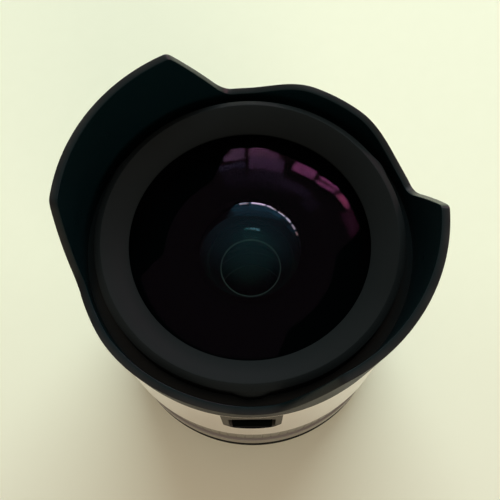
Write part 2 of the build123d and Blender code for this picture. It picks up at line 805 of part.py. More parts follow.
screw_bottom = floor_top + axial_gap
screw_top = front_chassis_top + motor_shaft_depth
thread_bottom = chassis_floor_top + screw_plain_end
thread_turns = int((front_chassis_z - screw_plain_end - thread_bottom) / screw_pitch)
thread = [(0, screw_bottom), (screw_r, screw_bottom), (screw_r, thread_bottom)]
for k in range(thread_turns):
    thread.append((screw_r - screw_thread_depth, thread_bottom + (k + 0.5) * screw_pitch))
    thread.append((screw_r, thread_bottom + (k + 1) * screw_pitch))
thread += [(screw_r, screw_top), (0, screw_top)]
with BuildPart() as lead_screw:
    with BuildSketch(upright(screw_axis)):
        with BuildLine():
            Polyline(*thread, close=True)
        make_face()
    revolve(axis=Axis((screw_axis[0], screw_axis[1], 0), (0, 0, 1)))

with BuildPart() as focus_motor:
    pegs(focus_motor_r, front_chassis_top, focus_motor_top, [screw_axis])
    chamfer(focus_motor.edges().group_by(Axis.Z)[-1], 2 * small_break)
    pegs(screw_r + running_gap, front_chassis_top, screw_top + axial_gap, [screw_axis], Mode.SUBTRACT)

# Iris base: a plate with the blades' pivot holes, inside a low rim
blade_angles = [360 / blade_count * k for k in range(blade_count)]
with BuildPart() as iris_base:
    tube(iris_base_hole_r, iris_base_r, front_chassis_top, iris_base_top)
    tube(iris_base_r - iris_base_wall, iris_base_r, iris_base_top, blades_top)
    pegs(iris_pin_r + iris_pin_gap, front_chassis_top, iris_base_top,
         [polar(blade_pivot_r, angle) for angle in blade_angles], Mode.SUBTRACT)

# Iris blades: thin crescents stacked one above the other, each with a pivot pin and a drive pin
blade_outer_r = iris_open_r + blade_width
blade_pin_top = iris_ring_z + iris_ring_thick - float_gap
iris_blades = []
for k, angle in enumerate(blade_angles):
    level = first_blade_z + k * blade_pitch
    pivot = polar(blade_pivot_r, angle)
    drive = polar(blade_pivot_r, angle + blade_drive_angle)
    with BuildPart() as blade:
        with BuildSketch(Plane.XY.offset(level)):
            sector(iris_open_r, blade_outer_r, angle - blade_heel, angle + blade_span)
            with Locations(pivot, drive):
                Circle(blade_eye_r)
            with BuildLine():
                inner_foot = polar(blade_outer_r - 0.2, angle + blade_heel)
                outer_foot = polar(blade_pivot_r + blade_eye_r, angle)
                Polyline(inner_foot, outer_foot, polar(blade_pivot_r + blade_eye_r, angle + blade_drive_angle),
                         polar(blade_pivot_r - blade_eye_r, angle + blade_drive_angle),
                         polar(blade_outer_r - 0.2, angle - blade_heel), close=True)
            make_face()
        extrude(amount=blade_thick)
        pegs(iris_pin_r, front_chassis_top + float_gap, level, [pivot])
        pegs(iris_pin_r, level + blade_thick, blade_pin_top, [drive])
    iris_blades.append(blade)

# Cam ring: a slot for each drive pin, and the gear sector that the pinion turns
swing_ratio = blade_swing / iris_turn


def drive_pin_in_ring(share):
    """Where the first blade's drive pin lies in the ring's own frame, part way through its turn."""
    ring_turn = iris_turn * share
    start_pivot = Vector(*polar(blade_pivot_r, 0), 0)
    arm = Vector(*polar(blade_pivot_r, blade_drive_angle), 0) - start_pivot
    moved = start_pivot + arm.rotate(Axis.Z, ring_turn * swing_ratio)
    return moved.rotate(Axis.Z, -ring_turn)


def tooth(root, pitch, tip, angle, centre):
    """One gear tooth pointing at an angle in plan; root, pitch and tip are (radius, half width) pairs."""
    side = [(root[0] - 0.1, root[1]), root, pitch, tip]
    corners = side + [(x, -y) for x, y in reversed(side)]
    c, s = cos(radians(angle)), sin(radians(angle))
    with BuildLine() as outline:
        Polyline(*[(centre[0] + x * c - y * s, centre[1] + x * s + y * c) for x, y in corners], close=True)
    make_face(outline.edges())


ring_pitch_r = gear_module * ring_gear_teeth / 2
pinion_pitch_r = gear_module * pinion_teeth / 2
half_tooth = pi * gear_module / 4 - tooth_play
flank = tan(radians(20))
ring_root_r = ring_pitch_r - gear_dedendum
ring_tooth = ((ring_root_r, half_tooth + gear_dedendum * flank), (ring_pitch_r, half_tooth),
              (ring_pitch_r + gear_addendum, half_tooth - gear_addendum * flank))
pinion_root_r = pinion_pitch_r - gear_dedendum
pinion_tooth = ((pinion_root_r, half_tooth * pinion_root_r / pinion_pitch_r), (pinion_pitch_r, half_tooth),
                (pinion_pitch_r + gear_addendum - tooth_play, 0.4 * half_tooth))
ring_step = 360 / ring_gear_teeth
teeth_behind = int((iris_turn + sector_margin) / ring_step)
teeth_ahead = int(sector_margin / ring_step)
iris_ring_top = iris_ring_z + iris_ring_thick
with BuildPart() as iris_ring:
    with BuildSketch(Plane.XY.offset(iris_ring_z)):
        Circle(iris_ring_r)
        sector(iris_ring_r - 0.2, ring_root_r, pinion_angle - (teeth_behind + 0.5) * ring_step,
               pinion_angle + (teeth_ahead + 0.5) * ring_step)
        for k in range(-teeth_behind, teeth_ahead + 1):
            tooth(*ring_tooth, pinion_angle + k * ring_step, (0, 0))
        Circle(iris_ring_bore, mode=Mode.SUBTRACT)
        track = Edge.make_three_point_arc(drive_pin_in_ring(0), drive_pin_in_ring(0.5), drive_pin_in_ring(1))
        with PolarLocations(0, blade_count):
            SlotArc(track, 2 * (iris_pin_r + iris_pin_gap), mode=Mode.SUBTRACT)
    extrude(amount=iris_ring_thick)

pinion_shaft_top = cell_disc_top + pinion_shaft_depth
with BuildPart() as iris_pinion:
    with BuildSketch(Plane.XY.offset(iris_ring_z)):
        with Locations(pinion_axis):
            Circle(pinion_root_r)
        for k in range(pinion_teeth):
            tooth(*pinion_tooth, pinion_angle + 180 + (k + 0.5) * 360 / pinion_teeth, pinion_axis)
    extrude(amount=iris_ring_thick)
    pegs(pinion_shaft_r, iris_ring_top - 0.1, pinion_shaft_top, [pinion_axis])

with BuildPart() as iris_motor:
    pegs(iris_motor_r, cell_disc_top, iris_motor_top, [pinion_axis])
    chamfer(iris_motor.edges().group_by(Axis.Z)[-1], 2 * small_break)
    pegs(pinion_shaft_r + running_gap, cell_disc_top, pinion_shaft_top + axial_gap, [pinion_axis],
         Mode.SUBTRACT)

# Front cell: hub for the cam ring, disc, rim that stands on the chassis, and the tube for two glasses
first_bore_r = first_glass_r + glass_gap
second_bore_r = second_prime_glass_r + glass_gap
second_seat = cell_disc_z + second_seat_rise
with BuildPart() as front_cell:
    tube(cell_hub_inner_r, iris_ring_bore - running_gap, iris_ring_z - float_gap, cell_disc_z)
    tube(cell_hub_inner_r, cell_disc_r, cell_disc_z, cell_disc_top)
    tube(cell_disc_r - cell_rim_wall, cell_disc_r, front_chassis_top, cell_disc_z)
    tube(cell_hub_inner_r, front_tube_r, cell_disc_top, front_tube_top)
    pegs(second_bore_r, second_seat, first_glass_seat, [(0, 0)], Mode.SUBTRACT)
    pegs(first_bore_r, first_glass_seat, front_tube_top, [(0, 0)], Mode.SUBTRACT)
    pegs(pinion_shaft_r + running_gap, cell_disc_z, cell_disc_top, [pinion_axis], Mode.SUBTRACT)

front_retainer_z = front_tube_top - front_retainer_height
front_retainer_inner_r = first_glass_r - front_retainer_width
with BuildPart() as front_retainer:
    tube(front_retainer_inner_r, first_glass_r, front_retainer_z, front_tube_top)

# Five glasses of the pancake lens, numbered from the front
first_rear_r = first_glass_r - first_rear_inset
first_apex = front_retainer_z - float_gap + sag(first_front_curve, front_retainer_inner_r)
first_rear_apex = first_glass_seat + float_gap + sag(first_rear_curve, first_rear_r)
with BuildPart() as glass_1:
    glass(first_apex, first_front_curve, first_rear_apex, first_rear_curve, first_glass_r, first_rear_r)

second_rear_r = cell_hub_inner_r - 2 * glass_gap
second_rear_apex = second_seat + float_gap - sag(second_prime_rear_curve, second_rear_r)
with BuildPart() as glass_2:
    glass(second_seat + second_prime_depth, -second_prime_curve, second_rear_apex, -second_prime_rear_curve,
          second_prime_glass_r, second_rear_r)

third_apex = carriage_top - third_glass_inset
with BuildPart() as glass_3:
    glass(third_apex, third_glass_curve, third_apex - third_glass_depth, -third_glass_curve, carriage_glass_r)

fourth_rear_apex = carriage_seat + float_gap + sag(fourth_rear_curve, carriage_glass_r)
with BuildPart() as glass_4:
    glass(fourth_rear_apex + fourth_glass_depth, -fourth_front_curve, fourth_rear_apex, fourth_rear_curve,
          carriage_glass_r)

with BuildPart() as glass_5:
    glass(rear_glass_front - sag(fifth_curve, rear_glass_r), -fifth_curve,
          rear_seat_z + float_gap + sag(fifth_curve, rear_glass_r), fifth_curve, rear_glass_r)

# Circuit board, its chips, and the flexible cable up from the contacts
with BuildPart() as main_board:
    with BuildSketch(Plane.XY.offset(board_z)):
        sector(board_inner_r, board_outer_r, main_rod_angle + board_gap_half_angle,
               main_rod_angle + 360 - board_gap_half_angle)
    extrude(amount=board_thick)
    block(flex_width + 2 * flex_slot_gap, 2 * board_notch_width, board_z, board_top, (0, -board_inner_r), 0,
          Mode.SUBTRACT)

board_mid_r = (board_inner_r + board_outer_r) / 2
with BuildPart() as board_chips:
    for angle, width, depth in ((0, 4.2, 4.2), (60, 3.0, 2.0), (95, 3.6, 3.6), (200, 4.6, 3.0), (235, 2.2, 3.6)):
        block(width, depth, board_top, board_top + chip_height, polar(board_mid_r, angle), angle)

flex_bottom = guard_plate_z + float_gap
with BuildPart() as flex_cable:
    block(flex_width, flex_thick, flex_bottom, board_top + flex_thick, (0, -flex_y))
    block(flex_width, flex_tab, board_top + float_gap, board_top + flex_thick, (0, -flex_y - flex_tab / 2))

# Converter mount: tube with three claws under the bezel's lips, and the flange behind the barrel's web
with BuildPart() as converter_mount:
    tube(conv_tube_r - conv_tube_wall, conv_tube_r, conv_claw_z, conv_claw_z + conv_tube_height)
    with BuildSketch(Plane.XY.offset(conv_claw_z)):
        for k in range(lug_count):
            middle = lug_angle + 360 / lug_count * k
            sector(conv_tube_r - 0.2, conv_claw_r, middle - conv_claw_span / 2, middle + conv_claw_span / 2)
    extrude(amount=conv_claw_thick)
    tube(conv_tube_r - 0.2, conv_flange_r, conv_face, conv_web_z)
    pegs(lock_pin_r + lock_pin_gap, conv_face, conv_web_z, [lock_pin_place], Mode.SUBTRACT)
    screw_holes(conv_screw_head_r, conv_screw_r, conv_face, conv_flange_thick, conv_screw_places, False)

conv_screw_length = conv_flange_thick + conv_web_thick - screw_end_gap
with BuildPart() as converter_screws:
    screws(conv_screw_head_r, conv_screw_r, conv_face, conv_screw_length, conv_screw_places, False)

# Converter barrel: skirt, web, wall, top lip, finger recess and latch window
chamfer_z = conv_barrel_top - conv_top_chamfer_z
lip_z = conv_barrel_top - conv_top_lip_thick
recess_y = conv_barrel_r - recess_depth
recess_height = chamfer_z - small_break - recess_bottom_z
with BuildPart() as converter_barrel:
    lathe((conv_skirt_r, skirt_z), (conv_barrel_foot_r, skirt_z), (conv_barrel_r, skirt_z + conv_barrel_flare),
          (conv_barrel_r, chamfer_z), (conv_barrel_r - conv_top_chamfer_r, conv_barrel_top),
          (conv_bore_r - conv_top_lip, conv_barrel_top), (conv_bore_r - conv_top_lip, lip_z),
          (conv_bore_r, lip_z), (conv_bore_r, conv_web_top), (conv_tube_r + running_gap, conv_web_top),
          (conv_tube_r + running_gap, conv_web_z), (conv_skirt_r, conv_web_z))
    pegs(leaf_screw_head_r + 0.2, conv_web_top - 0.1, leaf_z, [leaf_screw_place])
    with BuildSketch(Plane.XZ.offset(recess_y)):
        with Locations((0, recess_bottom_z + recess_height / 2)):
            scoop = Rectangle(recess_width, recess_height)
        fillet(scoop.vertices().group_by(Axis.Y)[0], recess_corner)
    extrude(amount=2, mode=Mode.SUBTRACT)
    with BuildSketch(Plane.XZ.offset(conv_bore_r - latch_cut_margin)):
        with Locations((0, latch_bottom_z + latch_height / 2)):
            Rectangle(latch_width, latch_height)
    extrude(amount=conv_barrel_r - conv_bore_r + 2 * latch_cut_margin, mode=Mode.SUBTRACT)
    pegs(lock_pin_r + lock_pin_gap, conv_web_z, conv_web_top, [lock_pin_place], Mode.SUBTRACT)
    pegs(conv_screw_r + running_gap, conv_web_z, conv_web_top, conv_screw_places, Mode.SUBTRACT)
    pegs(leaf_screw_r + running_gap, conv_web_top - 0.8, leaf_z, [leaf_screw_place], Mode.SUBTRACT)

# Release slider: a curved plate behind the window, its ribbed knob, a stem and the foot that lifts the leaf
knob_width = latch_width - 2 * knob_gap
knob_bottom = latch_bottom_z + knob_gap
knob_face = recess_y + knob_proud
foot_z = leaf_z - open_gap - foot_thick
with BuildPart() as release_slider:
    with BuildSketch(Plane.XY.offset(slider_plate_z)):
        sector(slider_plate_r, plate_outer_r, -90 - slider_plate_half_angle, -90 + slider_plate_half_angle)
    extrude(amount=slider_plate_height)
    block(knob_width, knob_face - slider_plate_r - 0.2, knob_bottom, knob_bottom + knob_height,
          (0, -(knob_face + slider_plate_r + 0.2) / 2))
    with BuildSketch(Plane.YZ.offset(-knob_width)):
        for k in range(knob_rib_count):
            with Locations((-knob_face, knob_bottom + knob_height * (k + 0.5) / knob_rib_count)):
                Rectangle(2 * knob_rib_depth, knob_height / knob_rib_count / 2.4)
    extrude(amount=2 * knob_width, mode=Mode.SUBTRACT)
    block(stem_width, slider_plate_thick - 0.1, foot_z, slider_plate_z + 0.5,
          (0, -(slider_plate_r + slider_plate_thick / 2)))
    block(foot_offset + foot_width / 2, slider_plate_thick - 0.1, foot_z, foot_z + foot_thick,
          ((foot_offset + foot_width / 2) / 2, -(slider_plate_r + slider_plate_thick / 2)))
    block(foot_width, plate_outer_r - leaf_inner_r - 0.6, foot_z, foot_z + foot_thick,
          (foot_offset, -(plate_outer_r + leaf_inner_r + 0.4) / 2))

# Lock leaf: a steel strip with the pin that drops into the lens's bezel, and its screw
with BuildPart() as lock_leaf:
    with BuildSketch(Plane.XY.offset(leaf_z)):
        sector(leaf_inner_r, leaf_outer_r, leaf_start, leaf_end)
    extrude(amount=leaf_thick)
    pegs(lock_pin_r, front_z - lock_pin_depth, leaf_z, [lock_pin_place])
    pegs(leaf_screw_r + running_gap, leaf_z, leaf_z + leaf_thick, [leaf_screw_place], Mode.SUBTRACT)

with BuildPart() as leaf_screw:
    pegs(leaf_screw_r, conv_web_top - 0.7, leaf_z + leaf_thick, [leaf_screw_place])
    pegs(leaf_screw_head_r, leaf_z + leaf_thick, leaf_z + leaf_thick + leaf_screw_head_height, [leaf_screw_place])

spring_bottom = slider_plate_z + slider_plate_height + spring_wire_r + 2 * float_gap
spring_height = lip_z - spring_bottom - spring_wire_r - 2 * float_gap
spring_place = polar(spring_ring_r, lug_angle)
with BuildPart() as slider_spring:
    with BuildLine() as coil:
        Helix(spring_pitch, spring_height, spring_r, center=(spring_place[0], spring_place[1], spring_bottom))
    with BuildSketch(Plane(origin=coil.line @ 0, z_dir=coil.line % 0)):
        Circle(spring_wire_r)
    sweep()

# Converter cell: the black inner barrel from the mount tube to the front glass's cup
cell_rear_z = conv_face + open_gap
cell_shoulder_z = cell_rear_z + conv_cell_rear_length
cell_cone_top = cell_shoulder_z + conv_cell_cone
rear_inner_r = conv_cell_rear_r - conv_cell_wall
front_inner_r = conv_cell_front_r - 1.2 * conv_cell_wall
second_bore = second_glass_r + glass_gap
doublet_bore = doublet_r + 2 * glass_gap
centre_tube_r = doublet_bore + inner_tube_wall
funnel_z = second_glass_seat + funnel_lift
with BuildPart() as converter_cell:
    lathe((rear_inner_r, cell_rear_z), (conv_cell_rear_r, cell_rear_z), (conv_cell_rear_r, cell_shoulder_z),
          (conv_cell_front_r, cell_cone_top), (conv_cell_front_r, conv_barrel_top),
          (conv_cell_flange_r, conv_barrel_top), (conv_cell_flange_r, cell_flange_top),
          (cup_r, cell_flange_top), (cup_r, cup_top), (cup_bore_r, cup_top),
          (cup_bore_r, front_glass_seat), (funnel_outer_r, front_glass_seat),
          (funnel_outer_r, funnel_z + funnel_rise), (second_bore, funnel_z), (second_bore, second_glass_seat),
          (second_bore - seat_lip, second_glass_seat), (second_bore - seat_lip, seat_lip_bottom),
          (doublet_bore, seat_lip_bottom), (doublet_bore, inner_tube_bottom), (centre_tube_r, inner_tube_bottom),
          (centre_tube_r, funnel_z - funnel_wall), (funnel_outer_r, funnel_z + funnel_rise - 1.5),
          (front_inner_r, funnel_z + funnel_rise - 1.0),
          (front_inner_r, cell_cone_top + 0.3), (rear_inner_r, cell_shoulder_z + 0.6))
    pegs(hood_screw_r + running_gap, conv_barrel_top, cell_flange_top, hood_screw_places, Mode.SUBTRACT)

# Glasses of the converter, with the spacer between them and the ring that locks the doublet
rear_land_z = front_glass_seat + float_gap
with BuildPart() as front_glass:
    glass(front_glass_apex, front_glass_curve, front_glass_rear_apex,
          curve_through(front_glass_rear_apex, rear_land_z, front_glass_rear_r), front_glass_r,
          front_glass_rear_r)

second_glass_rear_r = second_glass_r - second_glass_land
with BuildPart() as second_glass:
    glass(second_glass_apex, second_glass_curve,
          second_glass_seat + float_gap + sag(second_glass_rear_curve, second_glass_rear_r),
          second_glass_rear_curve, second_glass_r, second_glass_rear_r)

spacer_r = doublet_bore - glass_gap
with BuildPart() as glass_spacer:
    lathe((spacer_open_r, spacer_bottom), (spacer_r, spacer_bottom), (spacer_r, seat_lip_bottom - float_gap),
          (spacer_r - spacer_wall, seat_lip_bottom - float_gap))

with BuildPart() as doublet_front:
    glass(spacer_bottom - float_gap + sag(doublet_front_curve, spacer_open_r), doublet_front_curve,
          doublet_joint_z, -doublet_joint_curve, doublet_r)

with BuildPart() as doublet_rear:
    glass(doublet_joint_z - float_gap, -doublet_joint_curve, doublet_rear_z, doublet_rear_curve, doublet_r)

doublet_edge_z = surface_z(doublet_rear_z, doublet_rear_curve, doublet_r)
with BuildPart() as lock_ring:
    tube(spacer_r - lock_ring_width, spacer_r, doublet_edge_z - float_gap - lock_ring_height, doublet_edge_z - float_gap)

# Grey front ring: it clamps the front glass, and three small tabs swell its rim
ring_bottom = hood_floor_z + 2 * glass_gap
ring_inner_z = surface_z(front_glass_apex, front_glass_curve, ring_inner_r) + ring_glass_gap
glass_edge_z = surface_z(front_glass_apex, front_glass_curve, front_glass_r)
with BuildPart() as front_ring:
    lathe((ring_inner_r, ring_inner_z), (ring_inner_r, ring_inner_z + ring_land), (ring_crest_r, ring_crest_z),
          (ring_outer_r, ring_outer_z), (ring_outer_r, ring_bottom), (cup_r + running_gap, ring_bottom),
          (cup_r + running_gap, cup_top + running_gap), (front_glass_r - glass_gap, cup_top + running_gap),
          (front_glass_r - glass_gap, glass_edge_z + axial_gap))
    with BuildSketch(Plane.XY.offset(ring_bottom)):
        with PolarLocations(ring_tab_centre_r, ring_tab_count, start_angle=lug_angle):
            Circle(ring_tab_r)
        Circle(ring_crest_r, mode=Mode.SUBTRACT)
    extrude(amount=ring_outer_z - ring_tab_drop - ring_bottom)

# Petal hood: a leaning wall on a flange, its rim cut to two large and two small petals
side_slope = tan(radians(petal_side_lean)) * radians(1) * (hood_top_r - hood_wall / 2)
blend_top = petal_side_start + petal_side_blend
blend_rise = side_slope * petal_side_blend / 2
corner_drop = side_slope * petal_corner_blend / 2
corner_start = blend_top + (hood_top_z - dip_z - blend_rise - corner_drop) / side_slope
corner_end = corner_start + petal_corner_blend


def rim_z(angle):
    """Height of the hood's rim at an angle from the middle of a small petal, up to a quarter turn."""
    angle = abs(angle)
    if angle <= petal_side_start:
        share = min(max((angle - small_petal_flat) / (small_petal_foot - small_petal_flat), 0), 1)
        return dip_z + small_petal_rise * (1 + cos(pi * share)) / 2
    if angle <= blend_top:
        return dip_z + side_slope * (angle - petal_side_start) ** 2 / (2 * petal_side_blend)
    if angle <= corner_start:
        return dip_z + blend_rise + side_slope * (angle - blend_top)
    left = max(corner_end - angle, 0)
    return hood_top_z - side_slope * left ** 2 / (2 * petal_corner_blend)


rim_step = 2.5
rim_steps = int(90 / rim_step)
cut_inner_r = hood_base_r - 3 * hood_wall
cut_outer_r = hood_top_r + 3 * hood_wall
cut_top = hood_top_z + rim_cut_margin
with BuildPart() as rim_cutter:
    for k in range(-rim_steps, rim_steps + 1):
        across = radians(small_petal_angle + k * rim_step)
        low = rim_z(k * rim_step)
        with BuildSketch(Plane((0, 0, 0), x_dir=(cos(across), sin(across), 0), z_dir=(sin(across), -cos(across), 0))):
            with Locations(((cut_inner_r + cut_outer_r) / 2, (low + cut_top) / 2)):
                Rectangle(cut_outer_r - cut_inner_r, cut_top - low)
    loft()

hood_slope = tan(radians(hood_lean))
hood_blank_top = hood_top_z + 1
hood_shoulder_z = conv_barrel_top + hood_base_rise


def hood_r(z):
    """Outer radius of the hood's wall at a height."""
    return hood_top_r - (hood_top_z - z) * hood_slope


with BuildPart() as hood:
    lathe((conv_cell_flange_r + 2 * glass_gap, conv_barrel_top), (hood_base_r, conv_barrel_top),
          (hood_r(hood_shoulder_z), hood_shoulder_z), (hood_r(hood_blank_top), hood_blank_top),
          (hood_r(hood_blank_top) - hood_wall, hood_blank_top), (hood_r(hood_floor_z) - hood_wall, hood_floor_z),
          (cup_r + 2 * glass_gap, hood_floor_z),
          (cup_r + 2 * glass_gap, cell_flange_top),
          (conv_cell_flange_r + 2 * glass_gap, cell_flange_top))
    add(rim_cutter.part, mode=Mode.SUBTRACT)
    add(rim_cutter.part.rotate(Axis.Z, 180), mode=Mode.SUBTRACT)
    screw_holes(hood_screw_head_r, hood_screw_r, hood_floor_z, hood_flange_thick, hood_screw_places)

hood_screw_length = hood_flange_thick + conv_cell_flange_thick - screw_end_gap
with BuildPart() as hood_screws:
    screws(hood_screw_head_r, hood_screw_r, hood_floor_z, hood_screw_length, hood_screw_places)

pieces = {
    "mount_plate": mount_plate, "mount_screws": mount_screws, "rear_guard": rear_guard,
    "contact_block": contact_block, "contact_pins": contact_pins, "base_ring": base_ring,
    "base_barrel": base_barrel, "index_bead": index_bead, "focus_ring": focus_ring,
    "encoder_strip": encoder_strip, "slip_washers": slip_washers, "focus_sensors": focus_sensors,
    "front_bezel": front_bezel, "bezel_screws": bezel_screws, "front_shroud": front_shroud,
    "rear_chassis": rear_chassis, "rear_retainer": rear_retainer, "front_chassis": front_chassis,
    "focus_carriage": focus_carriage, "guide_rods": guide_rods, "lead_screw": lead_screw,
    "focus_motor": focus_motor, "iris_base": iris_base, "iris_ring": iris_ring, "iris_pinion": iris_pinion,
    "iris_motor": iris_motor, "front_cell": front_cell, "front_retainer": front_retainer,
    "glass_1": glass_1, "glass_2": glass_2, "glass_3": glass_3, "glass_4": glass_4, "glass_5": glass_5,
    "main_board": main_board, "board_chips": board_chips, "flex_cable": flex_cable,
    "converter_mount": converter_mount, "converter_screws": converter_screws,
    "converter_barrel": converter_barrel, "release_slider": release_slider, "lock_leaf": lock_leaf,
    "leaf_screw": leaf_screw, "slider_spring": slider_spring, "converter_cell": converter_cell,
    "front_glass": front_glass, "second_glass": second_glass, "glass_spacer": glass_spacer,
    "doublet_front": doublet_front, "doublet_rear": doublet_rear, "lock_ring": lock_ring,
    "front_ring": front_ring, "hood": hood, "hood_screws": hood_screws,
}
for k, blade in enumerate(iris_blades):
    pieces[f"iris_blade_{k + 1}"] = blade
for name, piece in pieces.items():
    piece.part.label = name
    export_step(piece.part, f"parts/{name}.step")
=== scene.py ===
"""A short silver lens with its petal-hooded wide converter, standing on a pale studio floor."""

import json
from math import atan2, cos, pi, radians, sin, sqrt, tan

import bmesh
import bpy
from mathutils import Matrix, Vector


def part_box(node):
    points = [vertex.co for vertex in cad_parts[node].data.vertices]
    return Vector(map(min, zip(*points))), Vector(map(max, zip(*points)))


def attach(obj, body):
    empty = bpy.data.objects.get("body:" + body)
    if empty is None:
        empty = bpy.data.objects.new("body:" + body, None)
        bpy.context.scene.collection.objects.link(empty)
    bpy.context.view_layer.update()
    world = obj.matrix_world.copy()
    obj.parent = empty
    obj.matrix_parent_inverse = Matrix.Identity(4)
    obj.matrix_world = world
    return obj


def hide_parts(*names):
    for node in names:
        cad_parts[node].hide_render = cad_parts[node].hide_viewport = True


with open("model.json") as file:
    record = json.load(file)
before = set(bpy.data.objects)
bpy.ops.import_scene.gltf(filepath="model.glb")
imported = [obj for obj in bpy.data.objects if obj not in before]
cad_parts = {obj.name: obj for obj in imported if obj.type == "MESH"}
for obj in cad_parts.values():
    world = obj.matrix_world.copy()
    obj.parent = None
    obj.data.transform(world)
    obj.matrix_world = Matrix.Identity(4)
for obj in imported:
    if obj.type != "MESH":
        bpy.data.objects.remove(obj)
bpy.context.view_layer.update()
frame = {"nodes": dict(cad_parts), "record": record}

MM = 0.001
NEAR = 0.01  # lengths that differ by less, in millimetres, count as the same
BODY_OF = {node: body for body, nodes in frame["record"]["behaviour"]["bodies"].items() for node in nodes}
SLOT_OF = {part["node"]: part["material_slot"] for part in frame["record"]["subparts"]}


def low(node):
    """Lowest corner of a node, in millimetres."""
    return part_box(node)[0] / MM


def high(node):
    """Highest corner of a node, in millimetres."""
    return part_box(node)[1] / MM


# Node trees

class Wire:
    """A shader number that plain arithmetic works on."""

    def __init__(self, paint, socket):
        self.paint = paint
        self.socket = socket

    def sum(self, operation, first, second):
        return self.paint.wire("ShaderNodeMath", {"operation": operation}, {0: first, 1: second})

    def __add__(self, other):
        return self.sum("ADD", self, other)

    def __radd__(self, other):
        return self.sum("ADD", other, self)

    def __sub__(self, other):
        return self.sum("SUBTRACT", self, other)

    def __rsub__(self, other):
        return self.sum("SUBTRACT", other, self)

    def __mul__(self, other):
        return self.sum("MULTIPLY", self, other)

    def __rmul__(self, other):
        return self.sum("MULTIPLY", other, self)

    def __truediv__(self, other):
        return self.sum("DIVIDE", self, other)

    def __pow__(self, other):
        return self.sum("POWER", self, other)

    def __gt__(self, other):
        return self.sum("GREATER_THAN", self, other)


class Paint:
    """A finish, built one node at a time."""

    def __init__(self, name, tree=None):
        if tree is None:
            self.material = bpy.data.materials.new(name)
            self.material.use_nodes = True
            tree = self.material.node_tree
        self.tree = tree
        self.tree.nodes.clear()
        self.point = None

    def node(self, kind, settings=None, inputs=None):
        node = self.tree.nodes.new(kind)
        for key, value in (settings or {}).items():
            setattr(node, key, value)
        for key, value in (inputs or {}).items():
            if isinstance(value, Wire):
                self.tree.links.new(value.socket, node.inputs[key])
            elif isinstance(value, tuple) and len(node.inputs[key].default_value) == 4:
                node.inputs[key].default_value = (*value, 1)
            else:
                node.inputs[key].default_value = value
        return node

    def wire(self, kind, settings=None, inputs=None, output=0):
        return Wire(self, self.node(kind, settings, inputs).outputs[output])

    def place(self):
        """The point on the piece, in metres, as a vector."""
        if self.point is None:
            self.point = self.wire("ShaderNodeTexCoord", output="Object")
        return self.point

    def axes(self):
        """The point's three coordinates, in metres."""
        parts = self.node("ShaderNodeSeparateXYZ", None, {0: self.place()})
        return [Wire(self, parts.outputs[k]) for k in range(3)]

    def noise(self, scale, detail=2, roughness=0.5):
        return self.wire("ShaderNodeTexNoise", None,
                         {"Vector": self.place(), "Scale": scale, "Detail": detail, "Roughness": roughness})

    def lines(self, place, detail=2):
        """Noise along one number, which draws lines where that number is the same."""
        return self.wire("ShaderNodeTexNoise", {"noise_dimensions": "1D"},
                         {"W": place, "Scale": 1, "Detail": detail})

    def attribute(self, name):
        return self.wire("ShaderNodeAttribute", {"attribute_name": name}, output="Fac")

    def mix(self, share, first, second):
        return self.wire("ShaderNodeMix", {"data_type": "RGBA"}, {0: share, 6: first, 7: second}, 2)

    def bump(self, height, depth):
        return self.wire("ShaderNodeBump", None, {"Height": height, "Distance": depth * MM, "Strength": 1})

    def surface(self, inputs):
        shader = self.wire("ShaderNodeBsdfPrincipled", None, inputs)
        self.finish(shader)
        return self.material

    def finish(self, shader):
        self.node("ShaderNodeOutputMaterial", None, {"Surface": shader})


# Finishes

def spread(noise, gain):
    """Noise stretched about its middle, so that it runs from dark to light."""
    return (noise - 0.5) * gain + 0.5


def turned_metal(name, dark, light, roughness, lines_per_mm=9, groove=0.004, smudge=0.08, metallic=1.0,
                 specular=0.5):
    """Metal off a lathe: fine rings round the axis, with faint clouding where hands have been."""
    paint = Paint(name)
    x, y, z = paint.axes()
    radius = (x * x + y * y) ** 0.5
    rings = paint.lines((z + radius) * (lines_per_mm / MM), 3)
    clouds = paint.noise(90, 3)
    share = spread(rings, 0.9) * 0.6 + spread(clouds, 1.4) * 0.4
    return paint.surface({
        "Base Color": paint.mix(share, dark, light),
        "Metallic": metallic,
        "Specular IOR Level": specular,
        "Roughness": (rings - 0.5) * 0.1 + (clouds - 0.5) * smudge + roughness,
        "Normal": paint.bump(rings, groove)})


def satin_silver(name, dark, light, roughness, metallic=1.0):
    """Bead-blasted and anodised aluminium: fine speckle under faint turning rings."""
    paint = Paint(name)
    x, y, z = paint.axes()
    radius = (x * x + y * y) ** 0.5
    rings = paint.lines((z + radius) * (5 / MM), 2)
    speckle = paint.noise(9000, 2)
    clouds = paint.noise(70, 3)
    share = spread(speckle, 0.8) * 0.45 + spread(rings, 0.7) * 0.25 + spread(clouds, 1.2) * 0.3
    height = speckle * 0.7 + rings * 0.3
    return paint.surface({
        "Base Color": paint.mix(share, dark, light),
        "Metallic": metallic,
        "Roughness": (speckle - 0.5) * 0.12 + (clouds - 0.5) * 0.1 + roughness,
        "Normal": paint.bump(height, 0.006)})


def moulded(name, dark, light, roughness, grain=4200, depth=0.012, specular=0.5):
    """Moulded plastic with a fine spark-eroded grain and a trace of sheen variation."""
    paint = Paint(name)
    pits = paint.noise(grain, 3, 0.6)
    clouds = paint.noise(120, 2)
    return paint.surface({
        "Base Color": paint.mix(spread(pits, 1.2) * 0.6 + spread(clouds, 1.2) * 0.4, dark, light),
        "Roughness": (clouds - 0.5) * 0.15 + (pits - 0.5) * 0.12 + roughness,
        "Specular IOR Level": specular,
        "Normal": paint.bump(pits, depth)})


